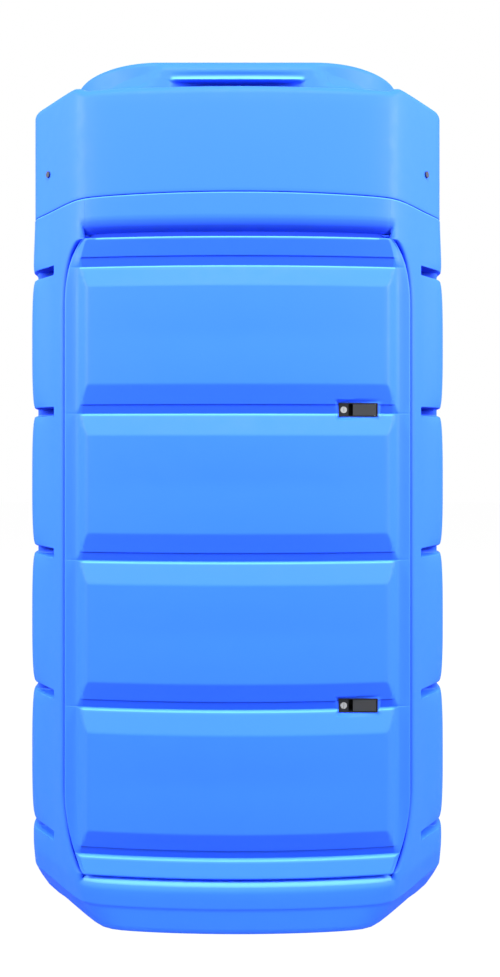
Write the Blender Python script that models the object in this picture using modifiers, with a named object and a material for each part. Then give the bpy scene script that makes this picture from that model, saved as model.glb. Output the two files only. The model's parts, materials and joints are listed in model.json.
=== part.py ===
"""Bunded liquid storage tank: a moulded outer tank with a lockable front cabinet, an inner tank,
a screwed hood and a hinged top lid. Metres, +Z up, the door faces -Y, the origin is under the middle."""

import math

import bmesh
import bpy
from mathutils import Matrix, Vector

# Overall sizes
WIDTH = 1.200
DEPTH = 1.200
HEIGHT = 2.300
WALL = 0.008
GAP = 0.0003

# Tank plan: a bowed front, slanted front corners, straight sides, rounded rear corners
PILLOW_BULGE = 0.021
FRONT_HALF = 0.412
FRONT_BOW = 0.026
CORNER_DEPTH = 0.225
GROUND_TUCK = 0.034
SEAM_Z = 1.908
SPIGOT_HEIGHT = 0.140
GROOVE_PITCH = 0.3856
GROOVE_FIRST_Z = 0.190
GROOVE_COUNT = 5
GROOVE_DEPTH = 0.022
GROOVE_HALF = 0.010
GROOVE_START = 0.096  # how far along the slanted corner, in X, the side grooves begin

# Door and its opening
DOOR_HALF = 0.4575
DOOR_NARROW = 0.0255
DOOR_FOOT_NARROW = 0.0270
DOOR_CORNER = 0.024
DOOR_LOW = 0.137
DOOR_TOP = 1.790
DOOR_GAP = 0.005
DOOR_WALL = 0.005
PLATEAU_HALF = 0.396
DOOR_BEVEL = 0.020
DOOR_BAND_DEPTH = 0.030
BAND_FLAT = 0.022
BAND_SLOPE = 0.056
FLANGE_Y = 0.060  # behind the front plane
DOOR_BACK_Y = 0.105
LINER = 0.005
SEAL_THICK = 0.0194
SEAL_WIDE = 0.012
FLARE = 0.040

# Cabinet behind the door
NICHE_HALF = 0.400
NICHE_LOW = 0.170
NICHE_TOP = 1.760
NICHE_DEEP = 0.385  # behind the front plane
TANK_BACK_GAP = 0.012

# Door pivot pins
PIVOT_INSET = 0.0390
PIVOT_Y = 0.0736
PIVOT_RADIUS = 0.005
PIVOT_LENGTH = 0.130
RUNNING = 0.0004

# Latches
LATCH_X = 0.315
LATCH_WIDE = 0.102
LATCH_HIGH = 0.036
LATCH_DEEP = 0.047
LATCH_Y = 0.038
LATCH_WALL = 0.0025
LOCK_RADIUS = 0.0085
CAM_LENGTH = 0.110
CAM_WIDE = 0.020
CAM_THICK = 0.003
KEEPER_Y = 0.132
KEEPER_REACH = 0.0297
KEEPER_HIGH = 0.040
PADDLE_THICK = 0.006
PADDLE_PIN = 0.0015

# Inner tank and its manhole
INNER_MARGIN = 0.065
INNER_TOP = 1.860
NECK_RADIUS = 0.200
NECK_TOP = 1.970
NECK_BACK = 0.430  # in from the back
FITTING_X = 0.330
FITTING_FRONT = 0.155  # behind the niche's back wall
FITTING_BACK = 0.270  # in from the back
FITTING_RADIUS = 0.030

# Hood and lid
HOOD_FACE_TOP = 2.150
HOOD_TOP = 2.205
HOOD_OPENING = 0.390
COLLAR_HEIGHT = 0.022
SCREW_Z = 2.000
SCREW_X = 0.520
SCREW_SIDE_Y = 0.200
LID_HALF = 0.475
LID_FRONT = 0.105
LID_DEEP = 0.990
LID_FRONT_FLAT = 0.210
LID_CORNER = 0.265
LID_BOTTOM = 2.213
LID_WALL = 0.006
LID_HINGE_X = 0.250
LID_PIN = 0.005

# Pump gear on the back wall of the cabinet
GEAR_Z = 1.120
SUCTION_X = -0.0725
SUCTION_OUT = 0.075  # in front of the niche's back wall
DIP_BACK = 0.095  # behind it
PIPE_RADIUS = 0.014
VALVE_Z = 1.430
HOLSTER_X = 0.280
HOLSTER_Z = 0.900
SWITCH_X = -0.310
SWITCH_Z = 1.520

FRONT_Y = -DEPTH / 2
NICHE_BACK = FRONT_Y + NICHE_DEEP
NECK_Y = DEPTH / 2 - NECK_BACK
SUCTION_Y = NICHE_BACK - SUCTION_OUT
DIP_Y = NICHE_BACK + DIP_BACK
FITTING_ROWS = {"front": NICHE_BACK + FITTING_FRONT, "back": DEPTH / 2 - FITTING_BACK}
TOP_FITTINGS = {
    "fill": (-FITTING_X, FITTING_ROWS["front"]),
    "vent": (FITTING_X, FITTING_ROWS["front"]),
    "gauge": (FITTING_X, FITTING_ROWS["back"]),
}
LAND_Y = FRONT_Y + DOOR_BACK_Y + LINER + SEAL_THICK + 2 * GAP
SIDE_HALF = WIDTH / 2 - PILLOW_BULGE
BACK_Y = DEPTH / 2 - PILLOW_BULGE
LATCH_LEVELS = {"upper": GROOVE_FIRST_Z + 3 * GROOVE_PITCH + 0.002, "lower": GROOVE_FIRST_Z + GROOVE_PITCH + 0.002}


def clear_scene():
    for item in list(bpy.data.objects):
        bpy.data.objects.remove(item, do_unlink=True)


def new_collection(name):
    made = bpy.data.collections.new(name)
    bpy.context.scene.collection.children.link(made)
    return made


def material(name, colour, roughness, metallic=0.0):
    made = bpy.data.materials.new(name)
    made.use_nodes = True
    shader = made.node_tree.nodes["Principled BSDF"]
    shader.inputs["Base Color"].default_value = (*colour, 1.0)
    shader.inputs["Roughness"].default_value = roughness
    shader.inputs["Metallic"].default_value = metallic
    return made


def add(name, mesh, finish, smooth=True):
    """One object for a mesh, in the tank's collection."""
    obj = bpy.data.objects.new(name, mesh)
    mesh.materials.append(finish)
    tank_parts.objects.link(obj)
    if smooth:
        mesh.shade_smooth()
        mesh.set_sharp_from_angle(angle=math.radians(35))
    return obj


def from_bmesh(name, work, finish, smooth=True):
    bmesh.ops.recalc_face_normals(work, faces=work.faces)
    mesh = bpy.data.meshes.new(name)
    work.to_mesh(mesh)
    work.free()
    return add(name, mesh, finish, smooth)


def block(name, low, high, finish, bevel=0.0):
    """A box between two corners, with rounded edges where bevel is given."""
    low, high = Vector(low), Vector(high)
    work = bmesh.new()
    bmesh.ops.create_cube(work, size=1.0)
    bmesh.ops.scale(work, vec=high - low, verts=work.verts)
    obj = from_bmesh(name, work, finish, smooth=False)
    obj.location = (low + high) / 2
    if bevel:
        edge = obj.modifiers.new("rounding", "BEVEL")
        edge.width = bevel
        edge.segments = 2
    return obj


def rod(name, start, end, radius, finish, sides=20):
    """A round bar from one point to another."""
    start, end = Vector(start), Vector(end)
    along = end - start
    work = bmesh.new()
    bmesh.ops.create_cone(work, cap_ends=True, segments=sides, radius1=radius, radius2=radius, depth=along.length)
    obj = from_bmesh(name, work, finish)
    obj.rotation_mode = "QUATERNION"
    obj.rotation_quaternion = Vector((0, 0, 1)).rotation_difference(along)
    obj.location = (start + end) / 2
    return obj


def turned(name, profile, place, finish, steps=32):
    """A closed profile of (radius, height) points turned about Z."""
    work = bmesh.new()
    corners = [work.verts.new((radius, 0, height)) for radius, height in profile]
    for first, second in zip(corners, corners[1:] + corners[:1]):
        if first.co.x > 0 or second.co.x > 0:
            work.edges.new((first, second))
    mesh = bpy.data.meshes.new(name)
    work.to_mesh(mesh)
    work.free()
    obj = add(name, mesh, finish)
    obj.location = place
    screw = obj.modifiers.new("turn", "SCREW")
    screw.steps = steps
    screw.render_steps = steps
    screw.use_merge_vertices = True
    screw.merge_threshold = 0.00005
    return obj


def plate(name, outline, start, end, finish, axis="Z"):
    """A flat outline filled and given thickness along an axis, from start to end."""
    curve = bpy.data.curves.new(name, "CURVE")
    curve.dimensions = "2D"
    curve.fill_mode = "BOTH"
    curve.extrude = (end - start) / 2
    spline = curve.splines.new("POLY")
    spline.points.add(len(outline) - 1)
    for point, (across, up) in zip(spline.points, outline):
        point.co = (across, up, 0, 1)
    spline.use_cyclic_u = True
    sketch = bpy.data.objects.new(name + "_sketch", curve)
    tank_parts.objects.link(sketch)
    mesh = bpy.data.meshes.new_from_object(sketch.evaluated_get(bpy.context.evaluated_depsgraph_get()))
    bpy.data.objects.remove(sketch)
    work = bmesh.new()
    work.from_mesh(mesh)
    bmesh.ops.remove_doubles(work, verts=work.verts, dist=0.00001)
    middle = (start + end) / 2
    if axis == "Y":  # the outline's second number becomes height
        turn = Matrix.Translation((0, middle, 0)) @ Matrix.Rotation(math.pi / 2, 4, "X")
    elif axis == "X":  # the outline holds depth and height
        turn = Matrix.Translation((middle, 0, 0)) @ Matrix(((0, 0, 1, 0), (1, 0, 0, 0), (0, 1, 0, 0), (0, 0, 0, 1)))
    else:
        turn = Matrix.Translation((0, 0, middle))
    bmesh.ops.transform(work, matrix=turn, verts=work.verts)
    return from_bmesh(name, work, finish, smooth=False)


def tube(name, points, radius, finish, resolution=2):
    """A round pipe along a list of points."""
    curve = bpy.data.curves.new(name, "CURVE")
    curve.dimensions = "3D"
    curve.bevel_depth = radius
    curve.bevel_resolution = resolution
    curve.use_fill_caps = True
    spline = curve.splines.new("POLY")
    spline.points.add(len(points) - 1)
    for point, place in zip(spline.points, points):
        point.co = (*place, 1)
    curve.materials.append(finish)
    obj = bpy.data.objects.new(name, curve)
    tank_parts.objects.link(obj)
    return obj


def loft(name, rings, finish, cap_low, cap_high):
    """A skin over rings that have the same number of points, each end closed or left open."""
    work = bmesh.new()
    rows = [[work.verts.new(point) for point in ring] for ring in rings]
    for lower, upper in zip(rows, rows[1:]):
        for i in range(len(lower)):
            j = (i + 1) % len(lower)
            work.faces.new((lower[i], lower[j], upper[j], upper[i]))
    if cap_low:
        work.faces.new(list(reversed(rows[0])))
    if cap_high:
        work.faces.new(rows[-1])
    bmesh.ops.triangulate(work, faces=work.faces)  # twisted faces become flat
    return from_bmesh(name, work, finish)


def thicken(obj, thickness):
    skin = obj.modifiers.new("wall", "SOLIDIFY")
    skin.thickness = thickness
    skin.offset = -1.0
    skin.use_even_offset = True


def as_tool(tool):
    if tool.name in tank_parts.objects:
        tank_parts.objects.unlink(tool)
        cutters.objects.link(tool)
    tool.hide_render = True
    tool.display_type = "WIRE"


def combine(target, operation, *tools):
    for tool in tools:
        as_tool(tool)
        step = target.modifiers.new(tool.name, "BOOLEAN")
        step.operation = operation
        step.solver = "EXACT"
        step.object = tool


def cut(target, *tools):
    combine(target, "DIFFERENCE", *tools)


def fuse(target, *tools):
    combine(target, "UNION", *tools)


def pivot(name, place, *pieces):
    """An empty on a joint's axis that carries the pieces of one moving body."""
    empty = bpy.data.objects.new(name, None)
    empty.location = place
    tank_parts.objects.link(empty)
    for piece in pieces:
        piece.parent = empty
        piece.matrix_parent_inverse = Matrix.Translation(-Vector(place))
    return empty


def arc(centre, radius, first, last, count):
    """Points of (across, up) on part of a circle, angles in degrees."""
    angles = [math.radians(first + (last - first) * i / (count - 1)) for i in range(count)]
    return [(centre[0] + radius * math.cos(a), centre[1] + radius * math.sin(a)) for a in angles]


def front_y(x):
    """The tank's front face in plan: a shallow bow, then the slanted corner."""
    x = abs(x)
    if x <= FRONT_HALF:
        return FRONT_Y + FRONT_BOW * (x / FRONT_HALF) ** 2
    slope = (CORNER_DEPTH - FRONT_BOW) / (SIDE_HALF - FRONT_HALF)
    return FRONT_Y + FRONT_BOW + slope * (x - FRONT_HALF)


def half_plan(tuck):
    """Right half of the tank's plan from front to back, with (groove, bulge) shares; tuck draws it in."""
    shrink = 1 - tuck / SIDE_HALF
    front = [(FRONT_HALF * i / 3 * (1 - 2 * tuck), 0, 0) for i in (1, 2, 3)]
    start = FRONT_HALF + GROOVE_START
    corner = [(start - GROOVE_DEPTH * 0.7, 0, 0), (start, 1, 0), (SIDE_HALF, 1, 0.5)]
    points = [(x, front_y(x), groove, bulge) for x, groove, bulge in front + corner]
    points.append((SIDE_HALF, FRONT_Y + CORNER_DEPTH + PILLOW_BULGE * 3, 1, 1))
    rear = 0.24
    turned_corner = arc((SIDE_HALF - rear, BACK_Y - rear), rear, 0, 90, 4)
    points += [(x, y, 1, 1) for x, y in turned_corner]
    return [(x * shrink, y * shrink, groove, bulge) for x, y, groove, bulge in points]


def tank_ring(z, bulge=0.0, groove=0.0, inset=0.0, tuck=0.0):
    """The tank's plan at a height, pushed out by the pillows or in by a groove or an inset."""
    half = half_plan(tuck)
    centre = (0.0, FRONT_Y * (1 - tuck / SIDE_HALF), 0, 0)
    whole = [(-x, y, g, b) for x, y, g, b in reversed(half)] + [centre] + half
    ring = []
    for i, (x, y, g, b) in enumerate(whole):
        before, after = whole[i - 1], whole[(i + 1) % len(whole)]
        into, out = Vector((x - before[0], y - before[1])), Vector((after[0] - x, after[1] - y))
        along = (into.normalized() + out.normalized()).normalized()
        spread = along.dot(out.normalized())
        push = (bulge * PILLOW_BULGE * b - groove * GROOVE_DEPTH * g - inset) / spread
        ring.append((x + along.y * push, y - along.x * push, z))
    return ring


def groove_levels():
    return [GROOVE_FIRST_Z + GROOVE_PITCH * i for i in range(GROOVE_COUNT)]


def tank_rings():
    """Rings from the ground to the spigot inside the hood."""
    rings = [tank_ring(0.0, tuck=GROUND_TUCK), tank_ring(0.030, bulge=0.2), tank_ring(0.085, bulge=1.0)]
    for z in groove_levels():
        rings += [
            tank_ring(z - 2 * GROOVE_HALF, bulge=1.0),
            tank_ring(z - GROOVE_HALF, groove=1.0),
            tank_ring(z + GROOVE_HALF, groove=1.0),
            tank_ring(z + 2 * GROOVE_HALF, bulge=1.0),
        ]
    inside = WALL + GAP
    rings += [tank_ring(SEAM_Z - 0.040, bulge=1.0), tank_ring(SEAM_Z - 0.012), tank_ring(SEAM_Z)]
    return rings + [tank_ring(SEAM_Z, inset=inside), tank_ring(SEAM_Z + SPIGOT_HEIGHT, inset=inside)]


def door_half(z):
    """Half the door's width at a height: narrower at its ends, with cut corners."""
    steps = [
        (DOOR_LOW, DOOR_HALF - DOOR_FOOT_NARROW - DOOR_CORNER),
        (DOOR_LOW + 0.043, DOOR_HALF - DOOR_FOOT_NARROW),
        (DOOR_LOW + 0.173, DOOR_HALF),
        (DOOR_TOP - 0.115, DOOR_HALF),
        (DOOR_TOP - 0.090, DOOR_HALF - DOOR_NARROW),
        (DOOR_TOP - 0.025, DOOR_HALF - DOOR_NARROW),
        (DOOR_TOP, DOOR_HALF - DOOR_NARROW - DOOR_CORNER),
    ]
    for (low, first), (high, last) in zip(steps, steps[1:]):
        if low <= z <= high:
            return first + (last - first) * (z - low) / (high - low)
    return steps[-1][1]


def door_outline(grow=0.0, up=0.0):
    """The door's outline of (x, z) points, made larger by grow, and taller by up."""
    levels = [DOOR_LOW, DOOR_LOW + 0.043, DOOR_LOW + 0.173, DOOR_TOP - 0.115, DOOR_TOP - 0.090, DOOR_TOP - 0.025, DOOR_TOP]
    right = [[door_half(z) + grow, z] for z in levels]
    right[0][1] -= grow + up
    right[-1][1] += grow + up
    return [tuple(p) for p in right] + [(-x, z) for x, z in reversed(right)]


def door_bands():
    """Bands across the door: (low foot, flat low, flat high, high foot) of each recess."""
    bands = []
    for z in groove_levels()[1:4]:
        low = z - BAND_FLAT / 2 + 0.002
        bands.append((low - BAND_SLOPE, low, low + BAND_FLAT, low + BAND_FLAT + BAND_SLOPE))
    return bands


def door_profile():
    """Heights up the door, each with its share of the raised panel."""
    steps = [(DOOR_LOW, 0.0), (DOOR_LOW + 0.043, 0.0), (DOOR_LOW + 0.121, 1.0)]
    for low_foot, flat_low, flat_high, high_foot in door_bands():
        steps += [(low_foot, 1.0), (flat_low, 0.0), (flat_high, 0.0), (high_foot, 1.0)]
    steps += [(DOOR_TOP - 0.123, 1.0), (DOOR_TOP - 0.060, 0.0), (DOOR_TOP, 0.0)]
    breaks = [DOOR_LOW + 0.173, DOOR_TOP - 0.115, DOOR_TOP - 0.090, DOOR_TOP - 0.025]
    for z in breaks:
        for (low, first), (high, last) in zip(steps, steps[1:]):
            if low < z < high:
                steps.append((z, first + (last - first) * (z - low) / (high - low)))
        steps.sort()
    return steps


def make_outer_tank():
    tank = loft("outer_tank", tank_rings(), blue, cap_low=True, cap_high=False)
    thicken(tank, WALL)

    def front_block(name, half, deep, low, high, inside=WALL / 2):
        xs = [-half, -FRONT_HALF, -FRONT_HALF * 2 / 3, -FRONT_HALF / 3, 0, FRONT_HALF / 3, FRONT_HALF * 2 / 3, FRONT_HALF, half]
        outline = [(x, front_y(x) + inside) for x in xs if abs(x) <= half]
        return plate(name, outline + [(half, deep), (-half, deep)], low, high, blue)

    rim_half = DOOR_HALF + DOOR_GAP + 1.4 * WALL
    rim = front_block("rim_block", rim_half, LAND_Y + WALL, DOOR_LOW - DOOR_GAP - WALL, DOOR_TOP + DOOR_GAP + WALL)
    brow_deep = LAND_Y + WALL / 2
    brow_half = DOOR_HALF
    brow = front_block("brow_block", brow_half, brow_deep, DOOR_TOP - FLARE, DOOR_TOP + DOOR_GAP + FLARE + WALL, WALL / 3)
    sill = front_block("sill_block", brow_half, brow_deep, DOOR_LOW - DOOR_GAP - FLARE, DOOR_LOW + FLARE, WALL / 3)
    niche_block = block(
        "niche_block",
        (-NICHE_HALF - WALL, LAND_Y - 0.002, NICHE_LOW - WALL),
        (NICHE_HALF + WALL, NICHE_BACK + WALL, NICHE_TOP + WALL),
        blue,
    )
    fuse(tank, rim, brow, sill, niche_block)
    near, middle = FRONT_Y - FLARE, FRONT_Y + FLARE
    outline = door_outline(DOOR_GAP)
    flared = door_outline(DOOR_GAP, FLARE * 2)
    rings = [[(x, y, z) for x, z in shape] for shape, y in ((flared, near), (outline, middle), (outline, LAND_Y))]
    cut(tank, loft("door_opening", rings, blue, True, True))
    cut(
        tank,
        block("niche_space", (-NICHE_HALF, LAND_Y - 0.030, NICHE_LOW), (NICHE_HALF, NICHE_BACK, NICHE_TOP), blue),
        rod("suction_pass", (SUCTION_X, SUCTION_Y, NICHE_TOP - 0.05), (SUCTION_X, SUCTION_Y, NICHE_TOP + 0.05),
            PIPE_RADIUS + 0.004, blue),
    )
    reach = PIVOT_INSET + DOOR_GAP + 0.0015
    inner_low, inner_high = DOOR_LOW - DOOR_GAP + 0.0006, DOOR_TOP + DOOR_GAP - 0.0006
    for end, low, high in (("lower", inner_low, DOOR_LOW + 0.190), ("upper", DOOR_TOP - 0.130, inner_high)):
        cut(tank, rod(f"{end}_swing_relief", (*pivot_place(), low), (*pivot_place(), high), reach, blue))
    for end, (low, high) in pivot_spans().items():
        cut(tank, rod(f"{end}_pivot_socket", (*pivot_place(), low - GAP), (*pivot_place(), high + GAP), PIVOT_RADIUS + GAP, blue))
    return tank


def pivot_place():
    return (-DOOR_HALF + PIVOT_INSET, FRONT_Y + PIVOT_Y)


def pivot_spans():
    """Heights of the two pivot pins, each half in the door and half in the frame."""
    return {
        "upper": (DOOR_TOP - PIVOT_LENGTH / 2, DOOR_TOP + PIVOT_LENGTH / 2),
        "lower": (DOOR_LOW - PIVOT_LENGTH / 2, DOOR_LOW + PIVOT_LENGTH / 2),
    }


def inner_plan(inset):
    """The inner tank's plan: straight front, rounded rear corners."""
    half = WIDTH / 2 - INNER_MARGIN - inset
    front = NICHE_BACK + WALL + TANK_BACK_GAP + inset
    back = DEPTH / 2 - INNER_MARGIN - inset
    round_front, round_back = 0.05, 0.20
    right = arc((half - round_front, front + round_front), round_front, -90, 0, 3)
    right += arc((half - round_back, back - round_back), round_back, 0, 90, 4)
    return right + [(-x, y) for x, y in reversed(right)]


def make_inner_tank():
    floor = WALL + GAP
    tank = plate("inner_tank", inner_plan(0), floor, INNER_TOP, natural)
    neck = rod("neck_outside", (0, NECK_Y, INNER_TOP - 0.02), (0, NECK_Y, NECK_TOP), NECK_RADIUS, natural, 32)
    fuse(tank, neck)
    cut(
        tank,
        plate("inner_space", inner_plan(WALL), floor + WALL, INNER_TOP - WALL, natural),
        rod("neck_bore", (0, NECK_Y, INNER_TOP - 0.03), (0, NECK_Y, NECK_TOP + 0.01), NECK_RADIUS - WALL, natural, 32),
        rod("dip_hole", (SUCTION_X, DIP_Y, INNER_TOP - 0.05), (SUCTION_X, DIP_Y, INNER_TOP + 0.05),
            PIPE_RADIUS + 0.001, natural),
    )
    for name, (x, y) in TOP_FITTINGS.items():
        cut(tank, rod(name + "_hole", (x, y, INNER_TOP - 0.05), (x, y, INNER_TOP + 0.05), FITTING_RADIUS + 0.001, natural))
    return tank


def make_top_fittings():
    """The filling pipe, vent and level gauge that stand on the inner tank."""
    radius, base = FITTING_RADIUS, INNER_TOP + GAP
    made = {}
    flange = radius + 0.022
    height = {"fill": 0.130, "vent": 0.110, "gauge": 0.060}
    finish = {"fill": black, "vent": black, "gauge": black}
    for name, (x, y) in TOP_FITTINGS.items():
        top = height[name]
        profile = [(radius, top), (radius, 0.012), (flange, 0.012), (flange, 0), (radius, 0), (radius, -0.040)]
        profile += [(radius - 0.005, -0.040), (radius - 0.005, top)]
        kind = {"fill": "fill_pipe", "vent": "vent_pipe", "gauge": "level_gauge_body"}[name]
        made[kind] = turned(kind, profile, (x, y, base), finish[name], 24)
    cap_in, cap_out = radius + 0.0015, radius + 0.008
    top = height["fill"] + GAP
    cap = [(0, top + 0.016), (cap_out, top + 0.016), (cap_out, top - 0.030), (cap_in, top - 0.030), (cap_in, top), (0, top)]
    made["fill_cap"] = turned("fill_cap", cap, (*TOP_FITTINGS["fill"], base), yellow, 24)
    top = height["gauge"] + GAP
    dial = [(0, top + 0.018), (radius + 0.010, top + 0.014), (radius + 0.016, top), (0, top)]
    made["level_gauge_dial"] = turned("level_gauge_dial", dial, (*TOP_FITTINGS["gauge"], base), clear, 24)
    return made


def make_manhole():
    seal_top = NECK_TOP + GAP + 0.0044
    inner = NECK_RADIUS - 0.025
    ring = [(NECK_RADIUS, seal_top), (NECK_RADIUS, NECK_TOP + GAP), (inner, NECK_TOP + GAP), (inner, seal_top)]
    turned("manhole_seal", ring, (0, NECK_Y, 0), rubber)
    skirt_in, skirt_out = NECK_RADIUS + 0.003, NECK_RADIUS + 0.015
    low, under, top = NECK_TOP - 0.040, seal_top + GAP, seal_top + GAP + 0.014
    lid = [(0, top + 0.008), (0.120, top + 0.008), (0.135, top), (skirt_out, top), (skirt_out, low), (skirt_in, low)]
    lid += [(skirt_in, under), (0, under)]
    turned("manhole_lid", lid, (0, NECK_Y, 0), black)


def superellipse(half_x, half_y, centre_y, power, count):
    points = []
    for i in range(count):
        a = 2 * math.pi * (i + 0.5) / count
        c, s = math.cos(a), math.sin(a)
        points.append((half_x * math.copysign(abs(c) ** (2 / power), c), centre_y + half_y * math.copysign(abs(s) ** (2 / power), s)))
    return points


def make_hood():
    rings = [tank_ring(SEAM_Z + GAP), tank_ring(HOOD_FACE_TOP)]
    rings += [tank_ring(HOOD_FACE_TOP + 0.038, inset=0.012), tank_ring(HOOD_TOP, inset=0.045)]
    hood = loft("hood", rings, blue, cap_low=False, cap_high=True)
    thicken(hood, WALL)
    middle = lid_middle()
    half_y = LID_DEEP / 2 - 0.085
    collar = plate("collar_block", superellipse(HOOD_OPENING + WALL, half_y + WALL, middle, 5, 28),
                   HOOD_TOP - 0.004, HOOD_TOP + COLLAR_HEIGHT, blue)
    fuse(hood, collar)
    cut(hood, plate("hood_opening", superellipse(HOOD_OPENING, half_y, middle, 5, 28), HOOD_TOP - 0.05, HOOD_TOP + 0.05, blue))
    return hood


def lid_middle():
    return FRONT_Y + LID_FRONT + LID_DEEP / 2


def lid_ring(z, inset):
    """The lid's plan: a narrow flat front and widely rounded corners."""
    half = LID_HALF - inset
    front, back = FRONT_Y + LID_FRONT + inset, FRONT_Y + LID_FRONT + LID_DEEP - inset
    round_x, round_y = LID_HALF - LID_FRONT_FLAT, LID_CORNER
    right = []
    for a in (-90, -60, -30, 0):
        right.append((LID_FRONT_FLAT + (round_x - inset) * math.cos(math.radians(a)), front + round_y + (round_y) * math.sin(math.radians(a))))
    rear = 0.180
    right += arc((half - rear, back - rear), rear, 0, 90, 4)
    return [(x, y, z) for x, y in right + [(-x, y) for x, y in reversed(right)]]


def make_lid():
    rings = [lid_ring(LID_BOTTOM, 0), lid_ring(HEIGHT - 0.030, 0), lid_ring(HEIGHT - 0.008, 0.012), lid_ring(HEIGHT, 0.040)]
    lid = loft("lid", rings, blue, cap_low=False, cap_high=True)
    thicken(lid, LID_WALL)
    seal = plate("lid_seal", [p[:2] for p in lid_ring(0, 0.001)], HOOD_TOP + GAP, LID_BOTTOM - GAP, rubber)
    cut(seal, plate("seal_inside", [p[:2] for p in lid_ring(0, 0.013)], HOOD_TOP - 0.01, LID_BOTTOM + 0.01, rubber))
    return lid


def lid_axis():
    """(y, z) of the lid's hinge pins, just behind the lid."""
    return (FRONT_Y + LID_FRONT + LID_DEEP + 0.012, LID_BOTTOM + 0.011)


def make_lid_hinges():
    """On each side a bracket on the hood, a leaf on the lid's back wall and a pin through both."""
    y, z = lid_axis()
    lid_back = FRONT_Y + LID_FRONT + LID_DEEP
    carried = []
    for side, x in (("left", -LID_HINGE_X), ("right", LID_HINGE_X)):
        outline = [(lid_back + 0.0005, HOOD_TOP + GAP), (lid_back + 0.024, HOOD_TOP + GAP),
                   (lid_back + 0.020, z + 0.007), (lid_back + 0.004, z + 0.007)]
        bracket = plate(f"lid_hinge_bracket_{side}", outline, x - 0.030, x + 0.030, steel, "X")
        cut(bracket, block(f"bracket_slot_{side}", (x - 0.0205, y - 0.02, HOOD_TOP + 0.003), (x + 0.0205, y + 0.03, z + 0.02), steel))
        cut(bracket, rod(f"bracket_bore_{side}", (x - 0.04, y, z), (x + 0.04, y, z), LID_PIN + GAP, steel))
        leaf = plate(f"lid_hinge_leaf_{side}", [(lid_back + GAP, z - 0.006), (y, z - 0.009), (y + 0.009, z), (y + 0.005, z + 0.009),
                                                (lid_back + 0.004, z + 0.012), (lid_back + 0.004, z + 0.050), (lid_back + GAP, z + 0.050)],
                     x - 0.020, x + 0.020, steel, "X")
        cut(leaf, rod(f"leaf_bore_{side}", (x - 0.04, y, z), (x + 0.04, y, z), LID_PIN + RUNNING, steel))
        rod(f"lid_hinge_pin_{side}", (x - 0.034, y, z), (x + 0.034, y, z), LID_PIN, steel, 16)
        carried.append(leaf)
    return carried


def make_hood_screws(hood, tank):
    slant = Vector((SIDE_HALF - FRONT_HALF, CORNER_DEPTH - FRONT_BOW, 0)).normalized()
    for side, sign in (("left", -1), ("right", 1)):
        facet = Vector((sign * slant.y, -slant.x, 0))
        spots = {
            "front": (Vector((sign * SCREW_X, front_y(SCREW_X), SCREW_Z)), facet),
            "rear": (Vector((sign * SIDE_HALF, SCREW_SIDE_Y, SCREW_Z)), Vector((sign, 0, 0))),
        }
        for place, (spot, out) in spots.items():
            name = f"hood_screw_{place}_{side}"
            head = rod(name, spot + out * GAP, spot + out * 0.0035, 0.009, steel, 16)
            shank = rod(name + "_shank", spot + out * 0.002, spot - out * 0.022, 0.004, steel, 12)
            bore = rod(name + "_bore", spot + out * 0.01, spot - out * 0.030, 0.004 + GAP, steel, 12)
            fuse(head, shank)
            cut(hood, bore)
            cut(tank, bore)


def make_door_panel():
    """The door's outer skin: raised panels between recessed bands, with edges turned back."""
    xs = [-1, -PLATEAU_HALF - DOOR_BEVEL, -PLATEAU_HALF, -0.2, 0, 0.2, PLATEAU_HALF, PLATEAU_HALF + DOOR_BEVEL, 1]
    work = bmesh.new()
    rows = []
    for z, share in door_profile():
        half = door_half(z)
        row = []
        for x in xs:
            at = math.copysign(half, x) if abs(x) == 1 else x * min(1, half / (PLATEAU_HALF + DOOR_BEVEL) - 0.01)
            raised = share if abs(x) <= PLATEAU_HALF else 0.0
            base = FRONT_Y + FLANGE_Y if abs(x) > PLATEAU_HALF else front_y(at) + DOOR_BAND_DEPTH
            row.append(work.verts.new((at, base - raised * DOOR_BAND_DEPTH, z)))
        rows.append(row)
    for lower, upper in zip(rows, rows[1:]):
        for i in range(len(xs) - 1):
            work.faces.new((lower[i], lower[i + 1], upper[i + 1], upper[i]))
    edges = [edge for edge in work.edges if edge.is_boundary]
    turned_back = bmesh.ops.extrude_edge_only(work, edges=edges)
    for item in turned_back["geom"]:
        if isinstance(item, bmesh.types.BMVert):
            item.co.y = FRONT_Y + DOOR_BACK_Y
    bmesh.ops.recalc_face_normals(work, faces=work.faces)
    if work.faces[:][0].normal.y > 0:
        bmesh.ops.reverse_faces(work, faces=work.faces)
    mesh = bpy.data.meshes.new("door_panel")
    work.to_mesh(mesh)
    work.free()
    panel = add("door_panel", mesh, blue)
    thicken(panel, DOOR_WALL)
    return panel


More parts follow.
